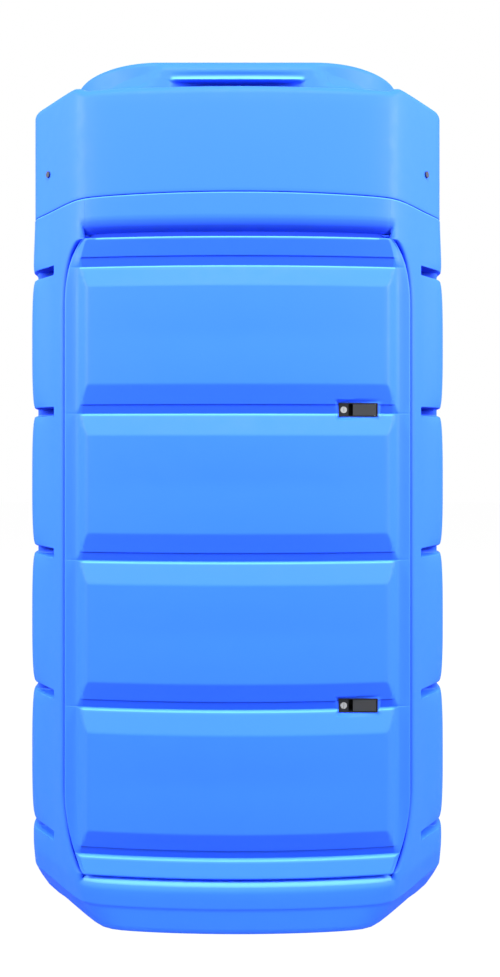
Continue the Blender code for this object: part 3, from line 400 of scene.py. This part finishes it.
def pillowShare(z):
    # how far a pillow stands out by height: a quick round lip of a third, then a long arc to its middle
    middles = grooveLevels[:-1] + 0.5 * tank["bandPitch"]
    v = np.clip(np.abs(z[..., None] - middles).min(axis=-1) / (0.5 * tank["bandPitch"] - 0.011), 0, 1)
    arch = 1 - v ** 3.4
    near = np.abs(z[..., None] - grooveLevels).min(axis=-1)
    lip = np.sqrt(1 - (1 - np.clip((near - 0.0115) / 0.030, 0, 1)) ** 2)
    foot = smoothStep(0.0, 0.16, z)
    ends = np.clip(np.maximum(z - middles[-1], middles[0] - z) / (0.5 * tank["bandPitch"]), 0, 1)
    arch = np.where(ends >= 1, 0.25, arch)
    rise = 0.62 * np.maximum(arch, 0) + 0.38 * lip
    return rise * foot * (1 - 0.8 * smoothStep(tank["seam"] - 0.16, tank["seam"], z))


def seamDrop(x, y):
    # the joint between tank and hood is lower at the corners and round the back than at the front's middle
    front = 0.009 * (np.minimum(np.abs(x), tank["frontHalf"]) / tank["frontHalf"]) ** 2
    front = front + 0.005 * smoothStep(tank["frontHalf"], tank["sideHalf"] - 0.01, np.abs(x))
    return np.where(y > -0.30, 0.014, front)


def heightRows():
    # dense rows at grooves, at the opening's fillets and steps, and at the foot; every 22 mm elsewhere
    rows = [
        np.arange(0.0, tank["seam"], 0.022), np.linspace(0, 0.064, 9), [0.0645, 0.066, 0.070, tank["seam"]]
    ]
    near = np.array([0.071, 0.055, 0.04, 0.03, 0.022, 0.017, 0.015, 0.013, 0.011, 0.009, 0.007])
    for level in grooveLevels:
        rows += [level - near, [level], level + near]
    low, top = door["low"] - door["gap"], door["top"] + door["gap"]
    a = np.linspace(0, math.pi / 2, 9)
    rows += [top + niche["browFillet"] * (1 - np.sin(a)), low - niche["sillFillet"] * (1 - np.sin(a))]
    rows += [[
        top - 0.0002, low + 0.0002, niche["low"], niche["low"] - 0.0002, niche["top"], niche["top"] + 0.0002
    ]]
    t = np.linspace(0, 1, 12) ** 1.6
    rows += [door["top"] - 0.08 * t, door["low"] + 0.08 * t]
    rows += [
        np.linspace(tank["seam"] - 0.07, tank["seam"] - 0.006, 6), tank["seam"] - 0.004 * (1 - np.sin(a))
    ]
    rows = np.unique(np.round(np.concatenate([np.asarray(r, float) for r in rows]), 5))
    return rows[(rows >= 0) & (rows <= tank["seam"])]


def edgeShare(distance, fillet):
    # 0 where an edge's fillet begins, 1 at the edge and past it; distance is negative outside the opening
    return np.clip((distance + fillet) / fillet, 0, 1)


def frontColumns(z):
    # x of each column on the front's right half, from the middle to the groove start, round the opening
    edge = (doorHalf(z) + door["gap"])[:, None]
    ones = np.ones_like(edge)
    inner = ones * np.concatenate([np.linspace(0, niche["half"], 17), [niche["half"] + 0.0002]])
    step = edge + (inner[:, -1:] - edge) * np.array([0.66, 0.33, 0.0])
    a = np.linspace(0, math.pi / 2, 7)
    fillet = edge + 0.0002 + niche["sideFillet"] * (1 - np.sin(a))[::-1]
    outer = fillet[:, -1:] + (tank["grooveStart"] - fillet[:, -1:]) * np.array([0.12, 0.4, 0.7])
    return np.concatenate([inner, step, fillet, outer], axis=1), edge


def makeTankBody():
    # front, opening, rebate and cabinet as depths over (x, z); sides and back pushed along the normals
    z = heightRows()
    x, edge = frontColumns(z)
    zz = z[:, None] * np.ones_like(x)
    low, top = door["low"] - door["gap"], door["top"] + door["gap"]
    across = edge - x
    upright = np.minimum(top - zz, zz - low)
    isBrow = top - zz < zz - low
    fillet = np.where(isBrow, niche["browFillet"], niche["sillFillet"])
    sideShare, endShare = edgeShare(across, niche["sideFillet"]), edgeShare(upright, fillet)
    share = np.minimum(sideShare, endShare)
    shallow = np.where(
        sideShare < endShare, niche["sideFillet"], fillet
    ) * (1 - np.sqrt(1 - 0.9999 * share ** 2))
    inside = (across > -0.0001) & (upright > 0.0001)
    inNiche = (x < niche["half"] + 0.0001) & (zz < niche["top"] + 0.0001) & (zz > niche["low"] - 0.0001)
    foot = 0.0015 * (1 - smoothStep(0.0625, 0.0665, zz)) + 0.004 * (1 - smoothStep(0.0, 0.008, zz))
    tuck = (tank["tuck"] * (1 - np.clip(z / 0.066, 0, 1)) + 0.007 * (1 - smoothStep(0.05, 0.13, z)))[:, None]
    y = frontY(x, tuck) + shallow + foot
    # painted shade on the opening's fillets, strongest under the brow, less at the sides, faint on the sill,
    # and in the rebate close to its edges
    weight = np.where(sideShare < endShare, 0.85, np.where(isBrow, 1.0, 0.1))
    shade = np.where(inside, 1 - smoothStep(0.0, 0.008, np.minimum(across, upright)), weight * share ** 2.2)
    # painted highlight along the fillet below the sill
    sillHighlight = np.exp(-((zz - (low - 0.012)) / 0.006) ** 2) * (across > 0)
    y = np.where(inside, niche["land"], y)
    y = np.where(inside & inNiche, niche["back"], y)
    side = sidePath()
    normal = pathNormals(side)
    run = np.concatenate([[0], np.cumsum(np.linalg.norm(np.diff(side, axis=0), axis=1))])
    begun = smoothStep(0.0, 0.005, run)
    grooveDepth = begun * (0.034 - 0.026 * smoothStep(0.060, 0.110, run))
    reach = 0.009 * smoothStep(0.0, 0.10, run) + 0.0115 * smoothStep(0.13, 0.42, run)
    push = reach * pillowShare(z)[:, None] - grooveDepth * grooveShare(z)[:, None]
    lip = 0.004
    lipIn = lip * (1 - np.sqrt(1 - np.clip((z - tank["seam"] + lip) / lip, 0, 1) ** 2 * 0.999))[:, None]
    under = (1.7 * (1 - np.sqrt(1 - (1 - np.clip(z / 0.075, 0, 1)) ** 2 * 0.999)))[:, None]
    tuckX = 0.010 * under * smoothStep(0.05, 0.14, run) * (side[:, 0] / tank["sideHalf"])
    sideX = side[:, 0] + normal[:, 0] * (push - lipIn) - tuckX
    tuckY = tank["tuckShare"] * tuck * (1 - smoothStep(0.085, 0.30, run))
    sideY = side[:, 1] + normal[:, 1] * (push - lipIn) + tuckY
    sideY = sideY - 0.010 * under * smoothStep(0.35, 0.55, side[:, 1])
    y = y + lipIn
    # painted highlight in a band just under the seam's lip; painted shade on the lip where it turns in
    seamHighlight = 0.8 * np.exp(-((z - tank["seam"] + 0.0065) / 0.0028) ** 2)[:, None]
    shade, paintedHighlight = np.maximum(shade, lipIn / lip), np.maximum(sillHighlight * 0.7, seamHighlight)
    # painted shade on the floors of the side grooves, fading round the corner; the seam's painted shade and
    # highlight carried round the sides
    sideShade = grooveShare(z)[:, None] * begun * (1 - 0.6 * smoothStep(0.07, 0.12, run))
    sideShade, sideHighlight = np.maximum(sideShade, lipIn / lip), seamHighlight + 0 * run
    rightX, rightY = np.concatenate([x, sideX], axis=1), np.concatenate([y, sideY], axis=1)
    gridX = np.concatenate([-rightX[:, ::-1], rightX[:, 1:-1]], axis=1)
    gridY = np.concatenate([rightY[:, ::-1], rightY[:, 1:-1]], axis=1)
    gridZ = z[:, None] - seamDrop(gridX, gridY) * smoothStep(1.84, tank["seam"], z)[:, None]
    marks = {}
    for label, front, flank in (("shade", shade, sideShade), ("paintedHighlight", paintedHighlight, sideHighlight)):
        half = np.concatenate([front, flank], axis=1)
        marks[label] = np.concatenate([half[:, ::-1], half[:, 1:-1]], axis=1)
    # the spigot inside the hood: step in, up, over the rim and down inside
    ringX, ringY = gridX[-1], gridY[-1]
    outer, inner = 0.0086, 0.0166
    spigot = [(0.0110, tank["seam"]), (outer, tank["seam"] + 0.008), (outer, tank["spigotTop"])]
    for inset, level in spigot + [(inner, tank["spigotTop"]), (inner, 1.80)]:
        scaleX, scaleY = 1 - inset / tank["sideHalf"], 1 - inset / 0.59
        gridX = np.vstack([gridX, ringX * scaleX])
        gridY = np.vstack([gridY, ringY * scaleY])
        gridZ = np.vstack([
            gridZ, np.full_like(ringX, level) - (seamDrop(ringX, ringY) if level < 1.92 else 0)
        ])
    # the underside closes to one point
    gridX, gridY, gridZ = (
        np.vstack([np.full_like(ringX, v), g]) for v, g in ((0.0, gridX), (0.0, gridY), (0.0, gridZ))
    )
    # painted shade at full on the spigot rows hidden inside the hood, none on the underside rows
    for label, values in marks.items():
        extra = np.full((len(gridX) - len(values) - 3, len(ringX)), 1.0 if label == "shade" else 0.0)
        marks[label] = np.vstack([np.zeros((3, len(ringX))), values, extra])
    body = meshFromGrid("tankBody", gridX, gridY, gridZ, closeAcross=True, marks=marks)
    return place(body, "tank", "blue_polyethylene", blueTank, "outer_tank")


def doorGridLines():
    # columns and rows of the door, dense where it bends and at the latch pockets
    edge = np.array([-0.006, -0.004, -0.0025, -0.001, 0.0, 0.001, 0.0025, 0.004, 0.006])
    radius = door["edgeRadius"]
    half = door["half"] - radius
    columns = [np.linspace(-half, half, 77)]
    for sign in (-1, 1):
        columns += [sign * (door["plateauHalf"] + edge), sign * (door["footHalf"] + edge)]
    reach, inside = latch["wide"] / 2, latch["wide"] / 2 - 0.0022
    steps = (inside, inside + 0.0002, reach + 0.002, reach + 0.004, reach + 0.009)
    columns += [[latch["x"] + s * v for s in (-1, 1) for v in steps]]
    rows = [np.arange(door["low"] + radius, door["top"] - radius, 0.0075)]
    for level in bandLevels:
        for at in (
            level, level + door["flat"], level - door["lowerSlope"],
            level + door["flat"] + door["upperSlope"]
        ):
            rows += [at + edge]
        top = level + door["flat"]
        rows += [[level - 0.0018, level - 0.003, level - 0.0036, top + 0.0018, top + 0.0022]]
    tall, deep = latch["high"] / 2, latch["high"] / 2 - 0.0022
    steps = (deep, deep + 0.0002, tall + 0.002, tall + 0.004, tall + 0.009)
    for level in latch["levels"].values():
        rows += [[level + s * v for s in (-1, 1) for v in steps]]
    t = np.linspace(0, 1, 12) ** 1.6
    rows += [door["top"] - radius - 0.06 * t, door["low"] + radius + 0.06 * t]
    lines = []
    for parts, low, high in ((columns, -half, half), (rows, door["low"] + radius, door["top"] - radius)):
        values = np.unique(np.round(np.concatenate([np.asarray(p, float) for p in parts]), 4))
        lines.append(values[(values >= low) & (values <= high)])
    return lines


def doorSurface(x, z):
    # y of the door's face: raised panels fall to five bands and to the side strips, hips where the falls meet
    low = tank["front"] + tank["bow"] * (x / tank["frontHalf"]) ** 2 + door["depth"]
    above = z[..., None] - (bandLevels + door["flat"])
    below = bandLevels - z[..., None]
    over = np.interp(above, [-door["flat"], 0, 0.0022, door["upperSlope"], 1], [0, 0.26, 0.34, 1, 30])
    under = np.interp(below, [0, 0.0030, door["lowerSlope"], 1], [0, 0.27, 1, 30])
    climb = np.maximum(over, under).min(axis=-1)
    ends = (door["footHalf"] - np.abs(x)) / (door["footHalf"] - door["plateauHalf"])
    share = softMin(softClamp(climb, 0.035), softClamp(ends, 0.45), 0.08)
    crown = 0.0012 * np.sin(np.clip(climb / 4.6, 0, 1) * math.pi)
    y = low - door["depth"] * share - crown * share * (1 - (x / door["half"]) ** 2)
    for level in latch["levels"].values():
        reachX, reachZ = np.abs(x - latch["x"]) - latch["wide"] / 2, np.abs(z - level) - latch["high"] / 2
        outside = np.maximum(reachX, reachZ)
        pad = 1 - smoothStep(0.0022, 0.009, outside)
        y = y + (latch["front"] + 0.0012 - y) * pad
        y = np.where(outside < -0.0021, latch["front"] + 0.0475, y)
    return y


def makeDoorSkin():
    columns, rows = doorGridLines()
    radius = door["edgeRadius"]
    a = np.linspace(0, math.pi / 2, 6)[1:]
    outX, dropX = radius * np.sin(a), radius * (1 - np.cos(a))
    stretch = columns[None, :] / (door["half"] - radius)
    back = 0.030
    lowEnd, highEnd = [rows[0] - radius] * 2, [rows[-1] + radius] * 2
    z = np.concatenate([lowEnd, rows[0] - outX[::-1][1:], rows, rows[-1] + outX[:-1], highEnd])
    level = np.zeros(len(rows))
    dropZ = np.concatenate([[back, 0.5 * back], dropX[::-1][1:], level, dropX[:-1], [0.5 * back, back]])
    half = doorHalf(z)[:, None] - radius
    widest, held = door["half"] - radius, 0.78
    beyond = (np.abs(stretch) - held) / (1 - held)
    squeezed = np.sign(stretch) * (held * widest + beyond * (half - held * widest))
    x = np.where(np.abs(stretch) > held, squeezed, columns[None, :] + 0 * half)
    zz = z[:, None] * np.ones_like(x)
    y = doorSurface(x, zz)
    extra = np.concatenate([outX, [radius] * 2])
    drop = np.concatenate([dropX, [0.5 * back, back]])
    left = x[:, :1] - extra[::-1]
    right = x[:, -1:] + extra
    leftY, rightY = y[:, :1] + drop[::-1], y[:, -1:] + drop
    x, y = np.hstack([left, x, right]), np.hstack([leftY, y, rightY])
    zz = z[:, None] * np.ones_like(x)
    y = y + dropZ[:, None]
    far = np.zeros_like(y, bool)
    far[0], far[-1], far[:, 0], far[:, -1] = True, True, True, True
    y = np.where(far, door["backY"], np.minimum(y, door["backY"] - 0.001))
    below = bandLevels - zz[..., None]
    # painted highlight on the upward ledge at the foot of each band's flat
    ledgeHighlight = np.exp(-((below - 0.0035) / 0.0022) ** 2).max(axis=-1) * (np.abs(x) < door["footHalf"] - 0.006)
    banded = np.abs(x) < door["footHalf"] - 0.010
    # painted shade: a dark line along each flat's top, and a darker tone over the flats
    line = np.exp(-((below + door["flat"] + 0.0010) / 0.0020) ** 2).max(axis=-1) * banded
    hollow = 0.35 * ((below < 0) & (below > -door["flat"])).any(axis=-1) * banded
    # painted highlight along the door's top edge
    topRimHighlight = np.exp(-((zz - door["top"] + 0.003) / 0.0025) ** 2) * (y < -0.575)
    marks = {"shade": np.maximum(line * 0.8, hollow), "paintedHighlight": np.maximum(ledgeHighlight * 0.8, topRimHighlight * 0.8)}
    skin = meshFromGrid("doorSkin", x, y, zz, marks=marks)
    facePoint(skin, (0, -1, 0))
    return place(skin, "door", "blue_polyethylene", blueTank, "door_panel")


def hoodHalf():
    # the plan of the hood from the front's middle round the right side, with its normals
    flank = np.linspace(0.435, tank["grooveStart"], 6)[:-1]
    frontX = np.concatenate([np.linspace(0, 0.39, 14), np.linspace(0.40, 0.424, 9), flank])
    right = np.concatenate([np.stack([frontX, frontY(frontX)], axis=1), sidePath()])
    return right, pathNormals(right)


def hoodOutline(inset, softEdge=False):
    # the plan drawn in along its normals; a soft edge is full at the front and half as deep elsewhere
    right, normal = hoodHalf()
    share = np.ones(len(right))
    if softEdge:
        share = 1 - 0.50 * smoothStep(0.395, 0.44, right[:, 0]) * (right[:, 1] < 0.3)
        share = np.where(right[:, 1] > 0.2, 0.5, share)
    moved = right - normal * (inset * share)[:, None]
    moved[0, 0] = moved[-1, 0] = 0
    return np.concatenate([moved * [-1, 1], moved[-2:0:-1]])[::-1]


def lidRadius(angle, halfX, halfY, power):
    # distance from the middle to a superellipse at an angle
    across, along = np.abs(np.cos(angle)) / halfX, np.abs(np.sin(angle)) / halfY
    return (across ** power + along ** power) ** (-1 / power)


hood = {
    "bottom": 1.9086, "faceTop": 2.160, "crest": 2.188, "top": 2.2045, "edge": 0.034, "openX": 0.390,
    "openY": 0.410, "collar": 2.226, "wall": 0.008, "straightTo": 2.10,
}


def makeHood():
    # a closed profile of (inset, height) carried round the plan: lip, face, eased crest, top, collar, inside
    plain = hoodOutline(0.0)
    drop = seamDrop(plain[:, 0], plain[:, 1])
    slant = smoothStep(0.395, 0.44, np.abs(plain[:, 0])) * (plain[:, 1] < -0.2) + (plain[:, 1] >= -0.2)
    lipped = [(0.0060, 0.0015), (0.0025, 0.0), (0.0007, 0.0010), (0.0, 0.0035)]
    rings = [(hoodOutline(inset), hood["bottom"] + rise - drop) for inset, rise in lipped]
    levels = np.linspace(hood["bottom"] + 0.010, hood["straightTo"], 9)
    rings += [(plain, z - drop * (1 - smoothStep(hood["bottom"], 2.0, z))) for z in levels]
    faceTop = hood["faceTop"] + 0.020 * slant
    crest = hood["crest"] + 0.012 * slant
    rings += [(plain, 0.5 * (faceTop + hood["straightTo"])), (plain, faceTop)]
    for v in np.linspace(0, math.pi / 2, 11)[1:]:
        eased = hoodOutline(hood["edge"] * (1 - math.cos(v)), True)
        rings.append((eased, faceTop + (crest - faceTop) * math.sin(v)))
    last = rings[-1][0]
    angle = np.arctan2(last[:, 1], last[:, 0])

    def openRing(grow):
        r = lidRadius(angle, hood["openX"] + grow, hood["openY"] + grow, 5)
        return np.stack([r * np.cos(angle), r * np.sin(angle)], axis=1)

    def between(ring, share, grow=0.0):
        return ring * (1 - share) + openRing(grow) * share

    wide, top, collar = hood["wall"], hood["top"], hood["collar"]
    for s in (0.06, 0.25, 0.5, 0.75, 1.0):
        rings.append((between(last, s, wide + 0.006), crest + (top - crest) * s ** 0.6))
    collarSteps = [
        (wide + 0.001, top + 0.003), (wide, top + 0.008), (wide, collar - 0.002), (wide - 0.002, collar)
    ]
    collarSteps += [(0.002, collar), (0, collar - 0.002), (0, top - 0.012)]
    rings += [(openRing(grow), level) for grow, level in collarSteps]
    edge = hoodOutline(hood["edge"])
    rings += [(between(edge, 0.5, wide), top - wide), (edge, hood["crest"] - wide)]
    rings += [(hoodOutline(0.020), hood["faceTop"] + 0.006), (hoodOutline(wide), hood["faceTop"] - 0.01)]
    rings += [(hoodOutline(wide), hood["bottom"] + 0.004 - drop)]
    x = np.array([ring[:, 0] for ring, z in rings])
    y = np.array([ring[:, 1] for ring, z in rings])
    z = np.array([level + np.zeros(len(ring)) for ring, level in rings])
    # painted shade on the three rows of the hood's bottom lip, along the seam
    shade = np.zeros_like(x)
    shade[:3] = np.array([1.0, 1.0, 0.5])[:, None]
    shell = meshFromGrid("hoodShell", x, y, z, closeAcross=True, closeAlong=True, marks={"shade": shade})
    return place(shell, "tank", "blue_polyethylene", blueTank, "hood")


lid = {
    "bottom": 2.2132, "faceTop": 2.2800, "top": 2.2985, "half": 0.4745, "frontY": -0.4945, "backY": 0.4945,
    "flat": 0.21, "cornerY": 0.265, "rear": 0.18, "gripHalf": 0.182, "dish": 0.0012, "roof": 2.290,
}


def lidOutline(inset):
    # narrow front, elliptic corners, straight sides, round rear; inset draws it in, past the ring by scaling
    ring = 0.12
    if inset > ring:
        return lidOutline(ring) * (1 - (inset - ring) / 0.36)
    half, front, back = lid["half"] - inset, lid["frontY"] + inset, lid["backY"] - inset
    frontX = np.linspace(0, lid["flat"], 24)[:-1]
    a = np.linspace(-math.pi / 2, 0, 24)
    cornerX = lid["flat"] + (half - lid["flat"]) * np.cos(a)
    corner = np.stack([cornerX, front + lid["cornerY"] * (1 + np.sin(a))], axis=1)
    sideY = np.linspace(front + lid["cornerY"], back - lid["rear"], 9)[1:]
    b = np.linspace(0, math.pi / 2, 14)[1:]
    radius = lid["rear"]
    rear = np.stack([half - radius + radius * np.cos(b), back - radius + radius * np.sin(b)], axis=1)
    backX = np.linspace(half - radius, 0, 7)[1:]
    frontLine = np.stack([frontX, np.full_like(frontX, front)], axis=1)
    sideLine = np.stack([np.full_like(sideY, half), sideY], axis=1)
    backLine = np.stack([backX, np.full_like(backX, back)], axis=1)
    right = np.concatenate([frontLine, corner, sideLine, rear, backLine])
    return np.concatenate([right * [-1, 1], right[-2:0:-1]])[::-1]


def makeLid():
    # the profile carried round the plan; a lens-shaped lip and the scoop below it are pushed into the front
    bottom, faceTop, top = lid["bottom"], lid["faceTop"], lid["top"]
    profile = [(0.0015, bottom), (0.0, bottom + 0.003)]
    profile += [(0.0, z) for z in np.linspace(bottom + 0.006, faceTop, 26)]
    a = np.linspace(0, math.pi / 2, 9)[1:]
    profile += [(0.014 * (1 - math.cos(v)), faceTop + 0.0165 * math.sin(v)) for v in a]
    profile += [(0.040, 2.2975), (0.080, 2.2970), (0.086, 2.2935), (0.110, 2.2925), (0.118, 2.2980)]
    profile += [(0.160, top), (0.25, top - 0.0008), (0.35, top - lid["dish"])]
    outside = len(profile)
    profile += [(0.35, lid["roof"]), (0.10, 2.289), (0.055, 2.284), (0.012, 2.262)]
    profile += [(0.006, bottom + 0.002), (0.005, bottom)]
    rings = [lidOutline(inset) for inset, z in profile]
    x = np.array([ring[:, 0] for ring in rings])
    y = np.array([ring[:, 1] for ring in rings])
    z = np.array([np.full(len(ring), level) for ring, (inset, level) in zip(rings, profile)])
    shoulder = smoothStep(0.0, 0.030, (z - bottom) - 0.052 + 1.1 * np.clip(np.abs(x) - 0.205, 0, 0.05))
    rows = (np.arange(len(profile)) < outside - 8)[:, None]
    y = y + 0.012 * shoulder * rows * (1 - smoothStep(0.05, 0.25, y - lid["frontY"]))
    front = (y < lid["frontY"] + 0.06) & (np.abs(x) < 0.2)
    lens = np.clip(1 - (x / lid["gripHalf"]) ** 2, 0, 1) * front
    lipZ = bottom + 0.026 + 0.002 * lens
    scoop = np.clip((lipZ - z) / 0.004, 0, 1) * (lens > 0) * np.sqrt(lens) * 0.024
    y = y + np.where(rows, scoop, 0)
    y[-2:] += 0.026 * np.sqrt(lens[-2:])
    y[-3] += 0.010 * np.sqrt(lens[-3])
    hollow = 0.5 * np.exp(-((z - lipZ - 0.0125) / 0.0060) ** 2) * np.sqrt(lens)
    y = y + np.where(rows, 0.007 * hollow, 0)
    # painted shade in the scoop under the grip and on the two rows of the bottom rim
    shade = np.where(rows, np.clip(scoop / 0.020, 0, 1), 0)
    shade[:2] = 0.9
    # painted highlight along the grip's lip
    paintedHighlight = np.where(rows, np.exp(-((z - lipZ - 0.004) / 0.0045) ** 2) * (lens > 0.02), 0)
    # the top and the roof inside each close to one point at the middle
    cap = np.zeros((1, x.shape[1]))
    x, y, shade, paintedHighlight = (np.vstack([m[:outside], cap, cap, m[outside:]]) for m in (x, y, shade, paintedHighlight))
    z = np.vstack([z[:outside], cap + top - lid["dish"], cap + lid["roof"], z[outside:]])
    marks = {"shade": shade, "paintedHighlight": paintedHighlight}
    shell = meshFromGrid("lidShell", x, y, z, closeAcross=True, closeAlong=True, marks=marks)
    return place(shell, "lid", "blue_polyethylene", blueTank, "lid")


makeTankBody()
makeDoorSkin()
makeHood()
makeLid()
print("moulded skins made")


stage = {
    "floorHalf": 14.0, "floorZ": -0.0005, "ambient": 0.20, "cameraY": -2.70, "eye": 1.27, "lens": 30.2,
    "shiftX": 0.0128, "shiftY": -0.0496,
}


def makeStage():
    mesh = bpy.data.meshes.new("floor")
    h, z = stage["floorHalf"], stage["floorZ"]
    mesh.from_pydata([(-h, -h, z), (h, -h, z), (h, h, z), (-h, h, z)], [], [(0, 1, 2, 3)])
    floor = bpy.data.objects.new("floor", mesh)
    bpy.context.scene.collection.objects.link(floor)
    material, tree, shader = newMaterial("studioFloor")
    shader.inputs["Base Color"].default_value = (0.22, 0.22, 0.22, 1)
    shader.inputs["Roughness"].default_value = 0.9
    glow = tree.nodes.new("ShaderNodeEmission")
    mix = tree.nodes.new("ShaderNodeMixShader")
    path = tree.nodes.new("ShaderNodeLightPath")
    glow.inputs["Strength"].default_value = 1.13
    tree.links.new(math2(tree, "MULTIPLY", path.outputs["Is Camera Ray"], 0.86), mix.inputs[0])
    tree.links.new(shader.outputs[0], mix.inputs[1])
    tree.links.new(glow.outputs[0], mix.inputs[2])
    tree.links.new(mix.outputs[0], tree.nodes["Material Output"].inputs["Surface"])
    mesh.materials.append(material)
    world = bpy.data.worlds.new("studio")
    bpy.context.scene.world = world
    world.use_nodes = True
    tree = world.node_tree
    path = tree.nodes.new("ShaderNodeLightPath")
    # white where it is seen or mirrored, dim as a source of light
    seen = math2(tree, "MAXIMUM", path.outputs["Is Camera Ray"], path.outputs["Is Glossy Ray"])
    seen = math2(tree, "MAXIMUM", seen, path.outputs["Is Transmission Ray"])
    strength = math2(tree, "ADD", math2(tree, "MULTIPLY", seen, 1 - stage["ambient"]), stage["ambient"])
    background = tree.nodes["Background"]
    background.inputs["Color"].default_value = (1, 1, 1, 1)
    tree.links.new(strength, background.inputs["Strength"])


def areaLight(name, place, target, size, power):
    light = bpy.data.lights.new(name, "AREA")
    light.shape = "RECTANGLE"
    light.size, light.size_y = size
    light.energy = power
    obj = bpy.data.objects.new(name, light)
    obj.location = place
    direction = np.array(target, float) - np.array(place, float)
    obj.rotation_euler = Vector(direction).to_track_quat("-Z", "Y").to_euler()
    bpy.context.scene.collection.objects.link(obj)


makeStage()
areaLight("keyLight", (0, -4.4, 6.6), (0, -0.3, 1.3), (3.4, 1.8), 640)
areaLight("sideLeft", (-4.6, -2.4, 3.4), (0, 0, 1.2), (1.6, 2.6), 560)
areaLight("sideRight", (4.6, -2.4, 3.4), (0, 0, 1.2), (1.6, 2.6), 610)
areaLight("rearLight", (0, 4.2, 4.2), (0, 0, 1.3), (3.0, 1.8), 240)
camera = bpy.data.cameras.new("camera")
camera.lens = stage["lens"]
camera.shift_x, camera.shift_y = stage["shiftX"], stage["shiftY"]
eye = bpy.data.objects.new("camera", camera)
eye.location = (0, stage["cameraY"], stage["eye"])
eye.rotation_euler = (math.pi / 2, 0, 0)
bpy.context.scene.collection.objects.link(eye)
bpy.context.scene.camera = eye
bpy.context.scene.view_settings.view_transform = "Standard"
print("stage made")
